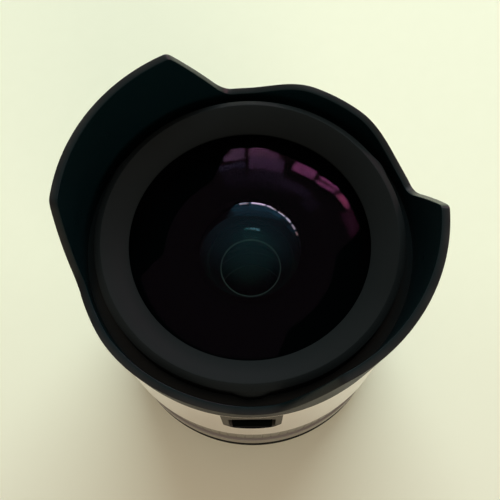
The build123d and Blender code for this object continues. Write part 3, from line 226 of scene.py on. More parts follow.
def hood_finish():
    """Black hood: fine grain outside, matt flocked black inside, and a painted highlight that lightens the rim
    in patches.
    """
    paint = Paint("hood_black")
    inside = paint.attribute("inside")
    rim = paint.attribute("rim")
    pits = paint.noise(5200, 3, 0.6)
    clouds = paint.noise(150, 3)
    outer = paint.mix(spread(pits, 1.4) * 0.5 + spread(clouds, 1.4) * 0.5, (0.004, 0.0045, 0.005),
                      (0.009, 0.0095, 0.010))
    # Painted highlight: the rim's colour is lightened in patches, where the rim catches the light
    rim_highlight = paint.mix(rim * spread(clouds, 2.0) * 0.6, outer, (0.035, 0.034, 0.032))
    outer_roughness = (1 - inside) * (1 - rim * 0.3) * 0.5
    return paint.surface({
        "Base Color": paint.mix(inside, rim_highlight, (0.0016, 0.0076, 0.0092)),
        "Roughness": inside * 0.3 + (clouds - 0.5) * 0.14 + outer_roughness,
        "Specular IOR Level": 0.2,
        "Normal": paint.bump(pits, 0.012)})


def coated_glass(name, bounce, colour, edge_colour, edge_bounce=0.1, veil=None, clear=1.0, where=None):
    """Coated glass seen straight through: a faint tinted mirror that grows towards grazing views.

    Bounce is the mirror's share seen head on, and edge_bounce what it gains at the edge, where the tint goes
    over to edge_colour. A veil is a painted colour, mixed in as a diffuse surface, that stands for coloured
    reflections and images seen in the glass, and the law of its share over the piece. Clear is how much light
    goes straight through. Where is the law of the coating's strength over the piece.
    """
    paint = Paint(name)
    facing = paint.wire("ShaderNodeLayerWeight", None, {"Blend": 0.5}, "Facing")
    dust = spread(paint.noise(1900, 4, 0.7), 3.0)
    share = facing ** 3.5 * edge_bounce + bounce + dust ** 8 * 0.0003
    if where:
        share = share * where(paint)
    through = paint.wire("ShaderNodeBsdfTransparent", None, {"Color": (clear, clear, clear)})
    middle, edge = [paint.wire("ShaderNodeBsdfGlossy", None, {"Color": tint, "Roughness": 0.004})
                    for tint in (colour, edge_colour)]
    mirror = paint.wire("ShaderNodeMixShader", None, {0: (facing - 0.55) / 0.35, 1: middle, 2: edge})
    glass = paint.wire("ShaderNodeMixShader", None, {0: share, 1: through, 2: mirror})
    if veil:
        painted_veil = paint.wire("ShaderNodeBsdfDiffuse", None, {"Color": veil[0]})
        glass = paint.wire("ShaderNodeMixShader", None, {0: veil[1](paint), 1: glass, 2: painted_veil})
    paint.finish(glass)
    return paint.material


def radius_on(paint):
    """Distance from the axis, in millimetres."""
    x, y, z = paint.axes()
    return (x * x + y * y) ** 0.5 / MM


def glow(reach, middle_y, strength):
    """A round patch that is strongest at its middle and gone at its reach, in millimetres."""
    def law(paint):
        x, y, z = paint.axes()
        y = y - middle_y * MM
        away = (x * x + y * y) ** 0.5 / (reach * MM)
        fall = paint.wire("ShaderNodeMath", {"operation": "MAXIMUM"}, {0: 1 - away * away, 1: 0.0})
        return fall * strength * (spread(paint.noise(150, 2), 0.5) * 0.4 + 0.8)
    return law


def pupil(strength, ring_r, ring_width, ring_strength):
    """A painted image of the iris that floats in the rear glass: an even veil with a thin brighter ring."""
    def law(paint):
        radius = radius_on(paint)
        inner = (radius > ring_r - ring_width / 2) * 1.0
        outer = (radius > ring_r + ring_width / 2) * 1.0
        cloud = spread(paint.noise(200, 2), 0.4) * 0.4 + 0.8
        return (inner - outer) * ring_strength + strength * cloud
    return law


def edged_black(name, edge_r, dark, pale):
    """Matt black with a pale line painted along an opening's edge."""
    paint = Paint(name)
    line = 1 - (radius_on(paint) > edge_r) * 1.0
    grain = paint.noise(3000, 2)
    return paint.surface({
        "Base Color": paint.mix(line, dark, pale),
        "Roughness": (grain - 0.5) * 0.2 + 0.6,
        "Specular IOR Level": 0.02})


def board_finish():
    """Green solder mask over copper tracks that show as a fine maze."""
    paint = Paint("board_green")
    cells = paint.wire("ShaderNodeTexVoronoi", {"feature": "DISTANCE_TO_EDGE"},
                       {"Vector": paint.place(), "Scale": 700}, "Distance")
    tracks = (cells > 0.12) * 1.0
    return paint.surface({
        "Base Color": paint.mix(tracks, (0.012, 0.075, 0.03), (0.02, 0.16, 0.06)),
        "Roughness": spread(paint.noise(300, 2), 0.3) * 0.3 + 0.25,
        "Normal": paint.bump(cells, 0.02)})


FINISHES = {
    "mount_steel": turned_metal("mount_steel", (0.62, 0.62, 0.61), (0.82, 0.81, 0.79), 0.17),
    "bright_steel": turned_metal("bright_steel", (0.50, 0.50, 0.49), (0.68, 0.68, 0.66), 0.26, 14),
    "black_screw": turned_metal("black_screw", (0.010, 0.010, 0.011), (0.024, 0.024, 0.025), 0.36, 14, 0.003,
                                0.1, 0.3),
    "black_plastic": moulded("black_plastic", (0.006, 0.006, 0.0065), (0.012, 0.012, 0.012), 0.5,
                             specular=0.3),
    "contact_gold": turned_metal("contact_gold", (0.80, 0.52, 0.17), (1.0, 0.74, 0.33), 0.22, 20, 0.002),
    "pinion_brass": turned_metal("pinion_brass", (0.55, 0.40, 0.16), (0.80, 0.62, 0.30), 0.28, 20, 0.002),
    "black_metal": turned_metal("black_metal", (0.0007, 0.0012, 0.0014), (0.0016, 0.0024, 0.0027), 0.65, 5,
                                0.008, 0.1, 0.0, 0.02),
    "blade_black": moulded("blade_black", (0.012, 0.012, 0.012), (0.028, 0.028, 0.028), 0.42, 9000, 0.003),
    "silver_barrel": satin_silver("silver_barrel", (0.78, 0.735, 0.70), (0.94, 0.89, 0.855), 0.34, 0.82),
    "dark_metal": turned_metal("dark_metal", (0.05, 0.05, 0.052), (0.10, 0.10, 0.10), 0.45, 8, 0.005, 0.1,
                               0.7),
    "motor_metal": turned_metal("motor_metal", (0.40, 0.40, 0.40), (0.60, 0.60, 0.59), 0.32, 6),
    "white_bead": moulded("white_bead", (0.78, 0.78, 0.76), (0.86, 0.86, 0.84), 0.25, 6000, 0.002),
    "strip_grey": moulded("strip_grey", (0.20, 0.20, 0.21), (0.32, 0.32, 0.33), 0.40, 9000, 0.002),
    "coated_glass": coated_glass("coated_glass", 0.012, (0.35, 0.75, 0.55), (0.8, 0.8, 0.8)),
    "board_green": board_finish(),
    "flex_amber": moulded("flex_amber", (0.36, 0.16, 0.03), (0.50, 0.25, 0.06), 0.32, 2500, 0.003),
    "latch_black": moulded("latch_black", (0.0012, 0.0016, 0.0009), (0.003, 0.0035, 0.002), 0.6, 6500, 0.006,
                           0.0),
    "grey_ring": turned_metal("grey_ring", (0.0075, 0.0095, 0.0095), (0.0125, 0.0150, 0.0150), 0.48, 6, 0.005,
                              0.1, 0.0, 0.05),
    "hood_black": hood_finish(),
}
FRONT_COATING = coated_glass("front_coating", 0.0080, (0.65, 0.34, 0.65), (0.6, 0.55, 0.72), 0.1, None, 0.7)
REAR_COATING = coated_glass("rear_coating", 0.06, (0.20, 0.62, 1.0), (0.4, 0.7, 1.0), 0.02,
                            where=glow(13, 6.5, 1.0))
# Painted reflection: a strong mirror on the bowl's bright arc, only on the side facing the windows
PAINTED_ARC_MIRROR = coated_glass("painted_arc_mirror", 0.55, (0.95, 0.76, 1.0), (0.95, 0.76, 1.0), 0.0)
# Painted reflection: a teal glow, lit like a diffuse surface and strongest near the middle of the second glass,
# stands for its coloured reflections
SECOND_PAINTED_GLOW = ((0.0, 0.55, 0.62), glow(11.0, 2.5, 0.008))
SECOND_COATING = coated_glass("second_coating", 0.008, (0.18, 1.0, 0.78), (0.18, 1.0, 0.78), 0.02,
                              SECOND_PAINTED_GLOW)
# Painted highlight: a small zone of the second glass with a much stronger mirror, where the windows' streak
# shows
PAINTED_STREAK_MIRROR = coated_glass("painted_streak_mirror", 0.07, (0.30, 0.80, 0.85), (0.30, 0.80, 0.85), 0.02,
                              SECOND_PAINTED_GLOW)
DOUBLET_COATING = coated_glass("doublet_coating", 0.004, (0.05, 0.50, 0.48), (0.3, 0.8, 0.7), 0.02)
# Painted reflection: the rear doublet carries a painted image of the iris in a teal veil
PUPIL_COATING = coated_glass("pupil_coating", 0.004, (0.05, 0.50, 0.48), (0.3, 0.8, 0.7), 0.02,
                             ((0.02, 0.75, 0.40), pupil(0.05, 1.95, 0.25, 0.25)))
# Black for the front glass's blackened edge, and painted shade on the wide land round the rear bowl that hides
# the converter's dark inside
EDGE_BLACK_AND_SHADE = moulded("edge_black_and_shade", (0.0004, 0.0009, 0.0011), (0.0010, 0.0018, 0.0020), 0.7, 3000, 0.002,
                       0.0)
SPACER_BLACK = edged_black("spacer_black", 6.12, (0.0006, 0.0022, 0.0022), (0.12, 0.22, 0.19))
# Dark grey for the recess floor and the window's walls, and painted shade on the barrel's top chamfer
DARK_GREY_AND_SHADE = moulded("dark_grey_and_shade", (0.056, 0.050, 0.042), (0.080, 0.072, 0.061), 0.5, 7000, 0.004, 0.1)
# Darker copies of the silver: painted shade for the low parts by the floor's shadow
SHADED_GRIP_SILVER = satin_silver("shaded_grip_silver", (0.29, 0.27, 0.25), (0.40, 0.375, 0.35), 0.38)
SHADED_BASE_SILVER = satin_silver("shaded_base_silver", (0.32, 0.30, 0.28), (0.44, 0.41, 0.385), 0.40)


# Shapes

def angle_of(point):
    """Angle of a point round the axis, in degrees."""
    return atan2(point.y, point.x) * 180 / pi


def turned(outline, steps, closed=True):
    """A full turn of an outline of (radius, height) points."""
    form = bmesh.new()
    points = [form.verts.new((radius * MM, 0, height * MM)) for radius, height in outline]
    edges = [form.edges.new(pair) for pair in zip(points, points[1:])]
    if closed:
        edges.append(form.edges.new((points[-1], points[0])))
    bmesh.ops.spin(form, geom=points + edges, cent=(0, 0, 0), axis=(0, 0, 1), angle=2 * pi, steps=steps,
                   use_merge=True)
    return form


def tidy(form):
    """Merges what touches and turns every face outwards."""
    bmesh.ops.remove_doubles(form, verts=form.verts, dist=0.0005 * MM)
    bmesh.ops.dissolve_degenerate(form, edges=form.edges, dist=0.0003 * MM)
    bmesh.ops.recalc_face_normals(form, faces=form.faces)


def round_edges(form, edges, width, segments):
    """Rounds some edges to a width in millimetres."""
    bmesh.ops.bevel(form, geom=edges, offset=width * MM, segments=segments, affect="EDGES", profile=0.5,
                    material=-1, clamp_overlap=True)


def soften(form, width, angle):
    """Rounds every edge that turns by more than an angle."""
    tidy(form)
    edges = [edge for edge in form.edges if edge.is_manifold and edge.calc_face_angle() > radians(angle)]
    round_edges(form, edges, width, 2)


def block(low_corner, high_corner):
    """A box between two corners, in millimetres."""
    form = bmesh.new()
    bmesh.ops.create_cube(form, size=1)
    low_corner, high_corner = Vector(low_corner) * MM, Vector(high_corner) * MM
    bmesh.ops.scale(form, vec=high_corner - low_corner, verts=form.verts)
    bmesh.ops.translate(form, vec=(high_corner + low_corner) / 2, verts=form.verts)
    return form


def as_object(form, name):
    """An object with a form's mesh; the form is used up."""
    mesh = bpy.data.meshes.new(name)
    form.to_mesh(mesh)
    form.free()
    obj = bpy.data.objects.new(name, mesh)
    bpy.context.scene.collection.objects.link(obj)
    return obj


def cut_away(form, *cutters):
    """A form less its cutters."""
    obj = as_object(form, "blank")
    tools = [as_object(cutter, "cutter") for cutter in cutters]
    for tool in tools:
        cut = obj.modifiers.new("cut", "BOOLEAN")
        cut.operation = "DIFFERENCE"
        cut.solver = "EXACT"
        cut.object = tool
    mesh = bpy.data.meshes.new_from_object(obj.evaluated_get(bpy.context.evaluated_depsgraph_get()))
    form = bmesh.new()
    form.from_mesh(mesh)
    for used in [obj] + tools:
        bpy.data.meshes.remove(used.data)
    bpy.data.meshes.remove(mesh)
    return form


def smoothed(node):
    """A CAD node's form with its loose corners merged and its flat faces whole."""
    form = bmesh.new()
    form.from_mesh(frame["nodes"][node].data)
    bmesh.ops.remove_doubles(form, verts=form.verts, dist=0.001 * MM)
    bmesh.ops.dissolve_limit(form, angle_limit=radians(0.4), verts=form.verts, edges=form.edges,
                             use_dissolve_boundaries=False, delimit=set())
    return form


def piece(name, form, node, material=None, sharp=30, rounding=0.0, patches=()):
    """Makes a form into a piece that stands for its CAD node and rides on that node's body.

    Edges that turn by more than sharp degrees stay sharp, and are rounded where a rounding is given. A patch
    is another finish and the test, on a face's middle and normal, that picks its faces.
    """
    tidy(form)
    for face in form.faces:
        face.smooth = True
    for edge in form.edges:
        edge.smooth = not edge.is_manifold or edge.calc_face_angle() < radians(sharp)
    for index, (finish, test) in enumerate(patches, 1):
        for face in form.faces:
            if test(face.calc_center_median() / MM, face.normal):
                face.material_index = index
    obj = as_object(form, name)
    obj.data.materials.append(material or FINISHES[SLOT_OF[node]])
    for finish, test in patches:
        obj.data.materials.append(finish)
    if rounding:
        bevel = obj.modifiers.new("rounding", "BEVEL")
        bevel.width = rounding * MM
        bevel.segments = 2
        bevel.limit_method = "ANGLE"
        bevel.angle_limit = radians(sharp)
        bevel.harden_normals = True
    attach(obj, BODY_OF[node])
    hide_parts(node)
    return obj


# Every node gets its finish, and the pieces below then stand for the nodes that show
for name, node in frame["nodes"].items():
    for slot in node.material_slots:
        slot.material = FINISHES[SLOT_OF[name]]

# Petal hood. Its rim is an outline of height against angle, the same for both small petals
barrel_top = high("converter_barrel").z
hood_top = barrel_top + 20.8
hood_top_r = 32.47
hood_wall = 1.4
hood_lean = tan(radians(3.22))
hood_floor = barrel_top + 2.4
hood_shoulder = barrel_top + 1.5
hood_foot_r = high("converter_barrel").x - 0.6
hood_bore_r = 26.3
hood_seat_r = 30.1
hood_seat = barrel_top + 1.2
small_petal_angle = 57.2
dip = barrel_top + 5.9
small_petal_rise = 3.5
small_petal_flat = 8.9
small_petal_foot = 34.3
side_start = 38.2
side_blend = 6.5
side_slope = tan(radians(57.5)) * radians(1) * (hood_top_r - hood_wall / 2)
corner_blend = 2.6
side_top = side_start + side_blend
side_rise = side_slope * side_blend / 2
corner_start = side_top + (hood_top - dip - side_rise - side_slope * corner_blend / 2) / side_slope
corner_end = corner_start + corner_blend


def rim_height(angle):
    """Height of the rim at an angle from the middle of a small petal."""
    angle = abs((angle - small_petal_angle + 90) % 180 - 90)
    if angle <= side_start:
        down = min(max((angle - small_petal_flat) / (small_petal_foot - small_petal_flat), 0), 1)
        return dip + small_petal_rise * (1 + cos(pi * down)) / 2
    if angle <= side_top:
        return dip + side_slope * (angle - side_start) ** 2 / (2 * side_blend)
    if angle <= corner_start:
        return dip + side_rise + side_slope * (angle - side_top)
    left = max(corner_end - angle, 0)
    return hood_top - side_slope * left ** 2 / (2 * corner_blend)


def hood_r(height):
    """Outer radius of the hood's wall at a height."""
    return hood_top_r - (hood_top - height) * hood_lean


# The wall is turned at its full height, then each vertex goes down to the rim's height at its angle
rim_round = 0.16
rim_turns = (0, 22, 45, 68, 90)
rows = 22
hood_steps = 720
cap = [(rim_round * (1 - sin(radians(t))), rim_round * (1 - cos(radians(t)))) for t in rim_turns]
wall_low, wall_high = hood_shoulder, hood_top - rim_round
outer_heights = [wall_low + (wall_high - wall_low) * k / rows for k in range(rows)]
inner_heights = [wall_high - (wall_high - hood_floor) * k / rows for k in range(1, rows + 1)]
form = turned([(hood_seat_r, barrel_top), (hood_foot_r, barrel_top)]
              + [(hood_r(z), z) for z in outer_heights]
              + [(hood_r(hood_top) - inset, hood_top - drop) for drop, inset in cap]
              + [(hood_r(hood_top) - hood_wall + inset, hood_top - drop) for drop, inset in reversed(cap)]
              + [(hood_r(z) - hood_wall, z) for z in inner_heights]
              + [(hood_bore_r, hood_floor), (hood_bore_r, hood_seat), (hood_seat_r, hood_seat)], hood_steps)
inside_layer = form.verts.layers.float.new("inside")
rim_layer = form.verts.layers.float.new("rim")
probe = 0.25
for vert in form.verts:
    x, y, z = vert.co / MM
    radius = sqrt(x * x + y * y)
    inner = radius < hood_r(z) - hood_wall / 2
    foot = hood_floor if inner else wall_low
    vert[inside_layer] = 1.0 if inner and z >= hood_floor - NEAR else 0.0
    if z < foot + NEAR or radius < hood_r(z) - hood_wall - 0.5:
        continue
    angle = angle_of(vert.co / MM)
    rim = rim_height(angle)
    slope = (rim_height(angle + probe) - rim_height(angle - probe)) / (2 * radians(probe) * radius)
    stretch = sqrt(1 + slope * slope)
    if z > wall_high - NEAR:
        vert[rim_layer] = 1.0
        new_z = rim - (hood_top - z) * stretch
    else:
        new_z = foot + (z - foot) / (wall_high - foot) * (rim - rim_round * stretch - foot)
    new_radius = radius + hood_r(new_z) - hood_r(z)
    vert.co = Vector((x * new_radius / radius, y * new_radius / radius, new_z)) * MM
piece("petal_hood", form, "hood", sharp=40)

# Grey front ring with its three swellings
ring_r = 28.0
ring_bore_r = 22.13
ring_top = high("front_ring").z
ring_low = low("front_ring").z
ring_shoulder_z = ring_top - 0.7
ring_flat_r = 26.7
ring_lip_low, ring_lip_high = 58.9, 59.15
ring_skirt_r = 26.25
ring_socket_r = 24.25
ring_socket_z = 59.45
tab_z = ring_top - 1.3
tab_r = 7.25
tab_centre_r = 21.3
tab_spacing = 120
tab_reach = 15
glass_edge_z = 57.42
form = turned([(ring_bore_r, ring_lip_low), (ring_bore_r, ring_lip_high), (ring_flat_r, ring_top),
               (ring_r, ring_shoulder_z), (ring_r, tab_z), (ring_r, ring_low), (ring_skirt_r, ring_low),
               (ring_skirt_r, ring_socket_z), (ring_socket_r, ring_socket_z), (ring_socket_r, glass_edge_z)],
              720)
for vert in form.verts:
    x, y, z = vert.co / MM
    radius = sqrt(x * x + y * y)
    if radius < ring_r - NEAR or z > tab_z + NEAR:
        continue
    off = (angle_of(vert.co / MM) + 90 + tab_spacing / 2) % tab_spacing - tab_spacing / 2
    if abs(off) < tab_reach:
        aside = tab_centre_r * sin(radians(off))
        reach = tab_centre_r * cos(radians(off)) + sqrt(tab_r ** 2 - aside ** 2)
        swell = max(reach - ring_r, 0)
        vert.co = Vector((x * (radius + swell) / radius, y * (radius + swell) / radius, z)) * MM
soften(form, 0.12, 20)
piece("front_ring_grey", form, "front_ring")


# Glass

def cap_points(apex, curve, inner_r, outer_r, steps):
    """Points of a spherical face from one radius to another."""
    radii = [inner_r + (outer_r - inner_r) * k / steps for k in range(steps + 1)]
    return [(r, apex - curve + sqrt(curve * curve - r * r)) for r in radii]


front_apex = high("front_glass").z
front_edge_r = high("front_glass").x
front_seat = low("front_glass").z
# The rear bowl stands where the glass in front of it makes it seem to be. A narrow band near its edge curves
# tightly and carries a strong mirror on the side that faces the windows, broken by painted gaps for the window
# bars: a painted reflection. A black land goes round it, painted shade over the converter's dark inside
arc_r = 9.32
arc_z = 55.0
arc_low, arc_high = arc_r - 0.17, arc_r + 0.17
arc_start, arc_end = 16, 102
painted_mullion_breaks = (89.5, 70, 55.5, 43, 32.5, 22.5)
half_mullion_break = 1.3
arc_slope_low, arc_slope_high = radians(17.8), radians(20.2)


def on_arc(middle):
    """Whether a point of the bowl's edge is on the bright arc, between its painted breaks for the window bars.
    """
    angle = angle_of(middle)
    return arc_start < angle < arc_end and min(abs(angle - place) for place in painted_mullion_breaks) > half_mullion_break


def bowl_slope(radius):
    """How steeply the rear bowl falls at a radius."""
    if radius < arc_low:
        return arc_slope_low * radius / arc_low
    return arc_slope_low + (arc_slope_high - arc_slope_low) * (radius - arc_low) / (arc_high - arc_low)


bowl_step = 0.07
bowl = [(arc_r, arc_z)]
while bowl[0][0] > bowl_step:
    radius, height = bowl[0]
    bowl.insert(0, (radius - bowl_step, height + bowl_step * tan(bowl_slope(radius - bowl_step / 2))))
bowl.insert(0, (0, bowl[0][1]))
while bowl[-1][1] > front_seat:
    radius, height = bowl[-1]
    fall = bowl_step * tan(bowl_slope(radius + bowl_step / 2))
    bowl.append((radius + bowl_step, max(height - fall, front_seat)))
front_curve = 40
outline = (cap_points(front_apex, front_curve, 0, front_edge_r, 48) + [(front_edge_r, front_seat)]
           + bowl[::-1])


def on_bowl(middle, normal):
    return normal.z < -0.2


def on_bright_band(middle, normal):
    return on_bowl(middle, normal) and middle.xy.length > arc_low and on_arc(middle)


# Painted shade: the black land round the rear bowl
def on_painted_shade_land(middle, normal):
    return on_bowl(middle, normal) and middle.xy.length > arc_high + 0.1


def on_ground_edge(middle, normal):
    return middle.xy.length > front_edge_r - 0.1 and abs(normal.z) < 0.2


piece("front_glass_dome", turned(outline, 360, False), "front_glass", FRONT_COATING, 20,
      patches=((REAR_COATING, on_bowl), (PAINTED_ARC_MIRROR, on_bright_band), (EDGE_BLACK_AND_SHADE, on_painted_shade_land),
               (EDGE_BLACK_AND_SHADE, on_ground_edge)))

second_edge_r = high("second_glass").x
second_seat = low("second_glass").z
second_apex = second_seat + 6.6
second_curve = 11
rear_r = 7.8
rear_curve = 9.2
sag = rear_curve - sqrt(rear_curve ** 2 - rear_r ** 2)
outline = (cap_points(second_apex, second_curve, 0, second_edge_r, 32)
           + [(second_edge_r, second_seat), (rear_r, second_seat)]
           + cap_points(second_seat + sag, rear_curve, rear_r, 0, 24)[1:])
# Where the painted highlight sits on the second glass
streak_low, streak_high = 4.1, 4.6
streak_start, streak_end = 64, 104


def on_streak(middle, normal):
    return (normal.z > 0.5 and streak_low < middle.xy.length < streak_high
            and streak_start < angle_of(middle) < streak_end)


piece("second_glass_dome", turned(outline, 192, False), "second_glass", SECOND_COATING, 20,
      patches=((PAINTED_STREAK_MIRROR, on_streak),))

# Focus ring with a ridged grip, in a darker silver that is painted shade
grip_r = high("focus_ring").x
grip_low = low("focus_ring").z
grip_high = high("focus_ring").z
grip_bore_r = 29.05
grip_foot_edge = 0.1
grip_top_edge = 0.15
grip_lip = 0.35
grip_lip_drop = 0.5
ridge_low = grip_low + 1.0
ridge_high = grip_high - 1.34
ridge_end = 0.03
ridge_steps = 800
groove_every = 8
groove_depth = 0.15
form = turned([(grip_bore_r, grip_low), (grip_r - grip_foot_edge, grip_low),
               (grip_r, grip_low + grip_foot_edge), (grip_r, ridge_low - ridge_end), (grip_r, ridge_low),
               (grip_r, ridge_high), (grip_r, ridge_high + ridge_end), (grip_r, grip_high - grip_top_edge),
               (grip_r - grip_top_edge, grip_high), (grip_r - grip_lip, grip_high),
               (grip_r - grip_lip, grip_high - grip_lip_drop), (grip_bore_r, grip_high - grip_lip_drop)],
              ridge_steps)
for vert in form.verts:
    x, y, z = vert.co / MM
    radius = sqrt(x * x + y * y)
    column = round(atan2(y, x) / (2 * pi) * ridge_steps) % groove_every
    if radius > grip_r - NEAR and ridge_low - NEAR < z < ridge_high + NEAR and column == 0:
        vert.co.xy *= (grip_r - groove_depth) / grip_r
piece("focus_grip", form, "focus_ring", SHADED_GRIP_SILVER, 25)

# Base barrel and its guide tube, in a darker silver that is painted shade
barrel_r = high("base_barrel").x
base_low = low("base_barrel").z
base_top = 14.6
base_foot = high("base_ring").z
base_edge = 0.1
base_neck_r = 28.95
base_bore_r = 22.0
base_floor = base_low + 2
guide_r = 29.0
guide_bore_r = 26.9
guide_top = high("base_barrel").z
form = turned([(base_bore_r, base_low), (base_neck_r, base_low), (base_neck_r, base_foot),
               (barrel_r - base_edge, base_foot), (barrel_r, base_foot + base_edge),
               (barrel_r, base_top - base_edge), (barrel_r - base_edge, base_top), (guide_r, base_top),
               (guide_r, guide_top), (guide_bore_r, guide_top), (guide_bore_r, base_floor),
               (base_bore_r, base_floor)], 360)
soften(form, 0.05, 30)
piece("base_shell", form, "base_barrel", SHADED_BASE_SILVER)

# Converter barrel with its finger recess and latch window
conv_r = high("converter_barrel").x
conv_foot = low("converter_barrel").z
foot_r = 30.54
taper_top = conv_foot + 3.5
bore = 29.9
foot_bore_r = 29.6
top_edge = 0.8
top_inset = 0.6
lip_r = bore - 1.3
web_low = 28.5
web_top = 30.1
web_bore_r = 26.55
recess_y = 30.7
recess_half = 6
recess_low = 38.7
recess_high = 53.85
recess_corner = 2.8
corner_stretch = 3.2
window_half = 4.35
window_low = 39.3
window_height = 8.9
window_corner = 0.8
cutter_reach = 3
form = turned([(foot_bore_r, conv_foot), (foot_r, conv_foot), (conv_r, taper_top),
               (conv_r, barrel_top - top_edge), (conv_r - top_inset, barrel_top), (lip_r, barrel_top),
               (lip_r, barrel_top - top_edge), (bore, barrel_top - top_edge), (bore, web_top),
               (web_bore_r, web_top), (web_bore_r, web_low), (foot_bore_r, web_low)], 360)
tidy(form)


def runs_inwards(edge):
    """Whether an edge of a cutter goes from the barrel's outside towards the axis."""
    return abs(edge.verts[0].co.y - edge.verts[1].co.y) > MM


# The recess is rounded while it is short and then drawn out, which makes its corners tall
scoop = block((-recess_half, -recess_y - cutter_reach, (recess_low - recess_high) / corner_stretch),
              (recess_half, -recess_y, 0))
corners = [edge for edge in scoop.edges if runs_inwards(edge) and edge.verts[0].co.z < -MM]
round_edges(scoop, corners, recess_corner, 10)
bmesh.ops.scale(scoop, vec=(1, 1, corner_stretch), verts=scoop.verts)
bmesh.ops.translate(scoop, vec=(0, 0, recess_high * MM), verts=scoop.verts)
window = block((-window_half, -recess_y - cutter_reach, window_low),
               (window_half, -recess_y + cutter_reach, window_low + window_height))
round_edges(window, [edge for edge in window.edges if runs_inwards(edge)], window_corner, 4)


def on_recess_floor(middle, normal):
    return normal.y < -0.99 and abs(middle.y + recess_y) < 0.02


# Painted shade: the top chamfer is painted dark grey, for the hood's shade and dark reflection on it
def on_top_edge(middle, normal):
    return 0.2 < normal.z < 0.9 and middle.z > barrel_top - 1


# Painted shade: the foot taper takes the darker grip silver
def on_foot_taper(middle, normal):
    return normal.z < -0.1 and conv_foot < middle.z < taper_top and middle.xy.length > foot_r - 0.1


def on_window_walls(middle, normal):
    return (middle.y < -bore and normal.y > -0.5
            and window_low - 0.1 < middle.z < window_low + window_height + 0.1)


# Painted shade: the recess's upward ledge takes the hood's black
def on_recess_ledge(middle, normal):
    return middle.y < -recess_y and normal.z > 0.5 and middle.z < window_low


barrel = piece("converter_shell", cut_away(form, scoop, window), "converter_barrel", rounding=0.1,
               patches=((DARK_GREY_AND_SHADE, on_recess_floor), (DARK_GREY_AND_SHADE, on_top_edge),
                        (SHADED_GRIP_SILVER, on_foot_taper), (DARK_GREY_AND_SHADE, on_window_walls),
                        (FINISHES["hood_black"], on_recess_ledge)))
barrel.modifiers["rounding"].use_clamp_overlap = False

# Pieces that keep their CAD form, with merged corners and lightly rounded edges
roundings = {"mount_plate": 0.06, "rear_guard": 0.08, "contact_block": 0.08, "base_ring": 0.05,
             "front_bezel": 0.04, "release_slider": 0.08, "converter_cell": 0.06}
own_finishes = {"glass_spacer": SPACER_BLACK, "doublet_front": DOUBLET_COATING, "doublet_rear": PUPIL_COATING}
for node in ("mount_plate", "mount_screws", "rear_guard", "contact_block", "contact_pins", "base_ring",
             "index_bead", "front_bezel", "release_slider", "slider_spring", "slip_washers", "converter_cell",
             "converter_mount", "lock_ring", "rear_retainer", "hood_screws", "lock_leaf", "leaf_screw",
             "converter_screws", "glass_spacer", "doublet_front", "doublet_rear", "glass_1", "glass_2",
             "glass_3", "glass_4", "glass_5"):
    piece(node + "_finished", smoothed(node), node, own_finishes.get(node), rounding=roundings.get(node, 0.0))

# Studio floor, with painted shade that makes it darker and warmer towards the front, with daylight panes and
# soft lamps
floor_half = 4
shade_from, shade_length = -0.045, 0.065
floor_form = bmesh.new()
bmesh.ops.create_grid(floor_form, x_segments=1, y_segments=1, size=floor_half)
floor = as_object(floor_form, "studio_floor")
paint = Paint("floor_paper")
fibre = paint.noise(220, 4)
x, y, z = paint.axes()
paper = paint.mix(spread(fibre, 1.0), (0.915, 0.945, 0.735), (0.935, 0.965, 0.755))
floor.data.materials.append(paint.surface({
    # Painted shadow: the floor's colour darkens towards the front, where the lens's shadow falls
    "Base Color": paint.mix((y - shade_from) / shade_length, (0.855, 0.85, 0.675), paper),
    "Roughness": 0.85,
    "Specular IOR Level": 0.1}))

world = bpy.data.worlds.new("studio")
bpy.context.scene.world = world
world.use_nodes = True
paint = Paint("studio", world.node_tree)
paint.node("ShaderNodeOutputWorld", None, {"Surface": paint.wire(
    "ShaderNodeBackground", None, {"Color": (1.0, 0.82, 0.68), "Strength": 0.38})})

# The photograph's plane of view stands this many degrees round from the part's own front
view_turn = 1.65


def from_angles(azimuth, elevation):
    """Unit vector towards a direction counted from the camera's right, and a height above the floor."""
    a, e = radians(azimuth + view_turn), radians(elevation)
    return Vector((cos(e) * cos(a), cos(e) * sin(a), sin(e)))


def lamp(name, azimuth, elevation, distance, width, height, strength, colour, shines=True, mirrors=True,
         lean=0):
    """A rectangular lamp that faces the lens.

    Strength is how bright its face looks, and lean how far it is tipped.
    """
    data = bpy.data.lights.new(name, "AREA")
    data.shape = "RECTANGLE"
    data.size = width
    data.size_y = height
    data.energy = strength * width * height * pi
    data.color = colour
    obj = bpy.data.objects.new(name, data)
    bpy.context.scene.collection.objects.link(obj)
    towards = from_angles(azimuth, elevation)
    across = Vector((0, 0, 1)).cross(towards).normalized()
    up = towards.cross(across)
    across, up = cos(lean) * across + sin(lean) * up, cos(lean) * up - sin(lean) * across
    obj.matrix_world = Matrix((across, up, towards)).transposed().to_4x4()
    obj.matrix_world.translation = lens_middle + towards * distance
    obj.visible_camera = False
    obj.visible_diffuse = shines
    obj.visible_glossy = mirrors


def pane(name, left, right, low_edge, high_edge, strength, colour, lean=0):
    """A window pane between two azimuths and two heights, seen only as a reflection."""
    middle = (low_edge + high_edge) / 2
    width = pane_distance * cos(radians(middle)) * radians(abs(left - right))
    height = pane_distance * radians(high_edge - low_edge)
    lamp(name, (left + right) / 2, middle, pane_distance, width, height, strength, colour, False, True,
         radians(lean))


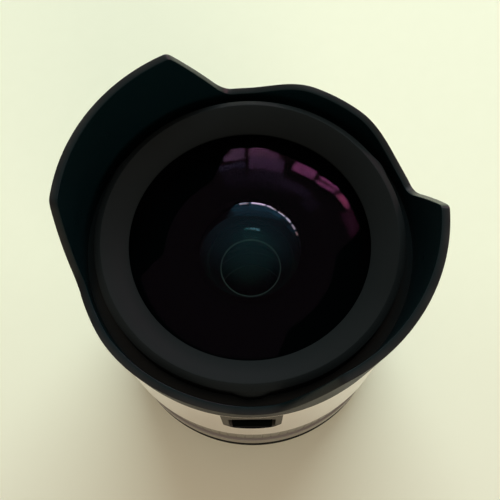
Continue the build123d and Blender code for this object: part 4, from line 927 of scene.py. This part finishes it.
lens_middle = Vector((0, 0, 0.05))
pane_distance = 2.0
daylight = (1.0, 0.97, 0.99)
noon = (1.0, 0.80, 0.86)
dusk = (0.63, 0.97, 1.05)
sunlit = (1.0, 0.52, 0.70)
sky = (0.75, 0.95, 1.0)
for values in (("left_window_low", 96.5, 90.6, 7.0, 12, 4.3, daylight),
               ("left_window_middle", 100, 90.6, 12, 18.4, 4.3, daylight, 4),
               ("left_window_high", 103.6, 90.6, 21.0, 25.5, 1.9, dusk, 6),
               ("middle_window_low", 89.0, 80.5, 6.6, 10.5, 5.6, noon),
               ("middle_window_middle", 89.0, 76.5, 10.5, 16, 5.0, noon),
               ("middle_window_high", 89.0, 72.6, 16, 26.5, 3.3, (0.90, 0.84, 1.0)),
               ("right_window_1", 68.8, 58.0, 13.3, 22, 9.6, (1.0, 0.50, 0.71)),
               ("right_window_2_low", 56.2, 46.4, 13.2, 15.7, 12.5, sunlit, 13),
               ("right_window_2_high", 55.9, 46.2, 18.0, 21.0, 12.5, sunlit, 16),
               ("right_window_3", 44.4, 36.4, 13.2, 19.6, 13.5, (1.0, 0.44, 0.52)),
               ("side_wall", 35, 15, 13, 26, 1.4, (1.0, 0.43, 0.63)),
               ("sky_left", 103, 90.5, 27.0, 36, 0.55, sky),
               ("sky_middle", 89.5, 70, 27.0, 36, 0.9, sky),
               ("sky_right", 70, 53, 30, 37, 1.2, sky),
               ("sky_side", 53, 44, 32, 42, 0.55, sky),
               ("sky_high", 103, 62, 36, 42, 0.35, sky)):
    pane(*values)
lamp("soft_key", 80, 42, 1.2, 1.05, 0.7, 6.1, (0.82, 0.96, 1.0), mirrors=False)
lamp("front_fill", 290, 20, 1.0, 0.5, 0.25, 8.0, (1.0, 0.88, 0.79), mirrors=False)

# Camera at the photograph's place and angle
tilt = 0.36
roll = -0.0399
focal_px = 726.749
picture_px = 500
place = Vector((0, -48.421, 182.993)) * MM
ahead = Vector((0, sin(tilt), -cos(tilt)))
level_up = Vector((0, cos(tilt), sin(tilt)))
level_right = ahead.cross(level_up).normalized()
right = cos(roll) * level_right + sin(roll) * level_up
up = cos(roll) * level_up - sin(roll) * level_right
view = bpy.data.cameras.new("photo_view")
view.sensor_width = 36
view.lens = view.sensor_width * focal_px / picture_px
view.clip_start = 0.005
camera = bpy.data.objects.new("photo_view", view)
bpy.context.scene.collection.objects.link(camera)
camera.matrix_world = Matrix((right, up, -ahead)).transposed().to_4x4()
camera.matrix_world.translation = place
camera.matrix_world = Matrix.Rotation(radians(view_turn), 4, "Z") @ camera.matrix_world
bpy.context.scene.camera = camera
bpy.context.scene.view_settings.view_transform = "Standard"

bpy.context.view_layer.update()
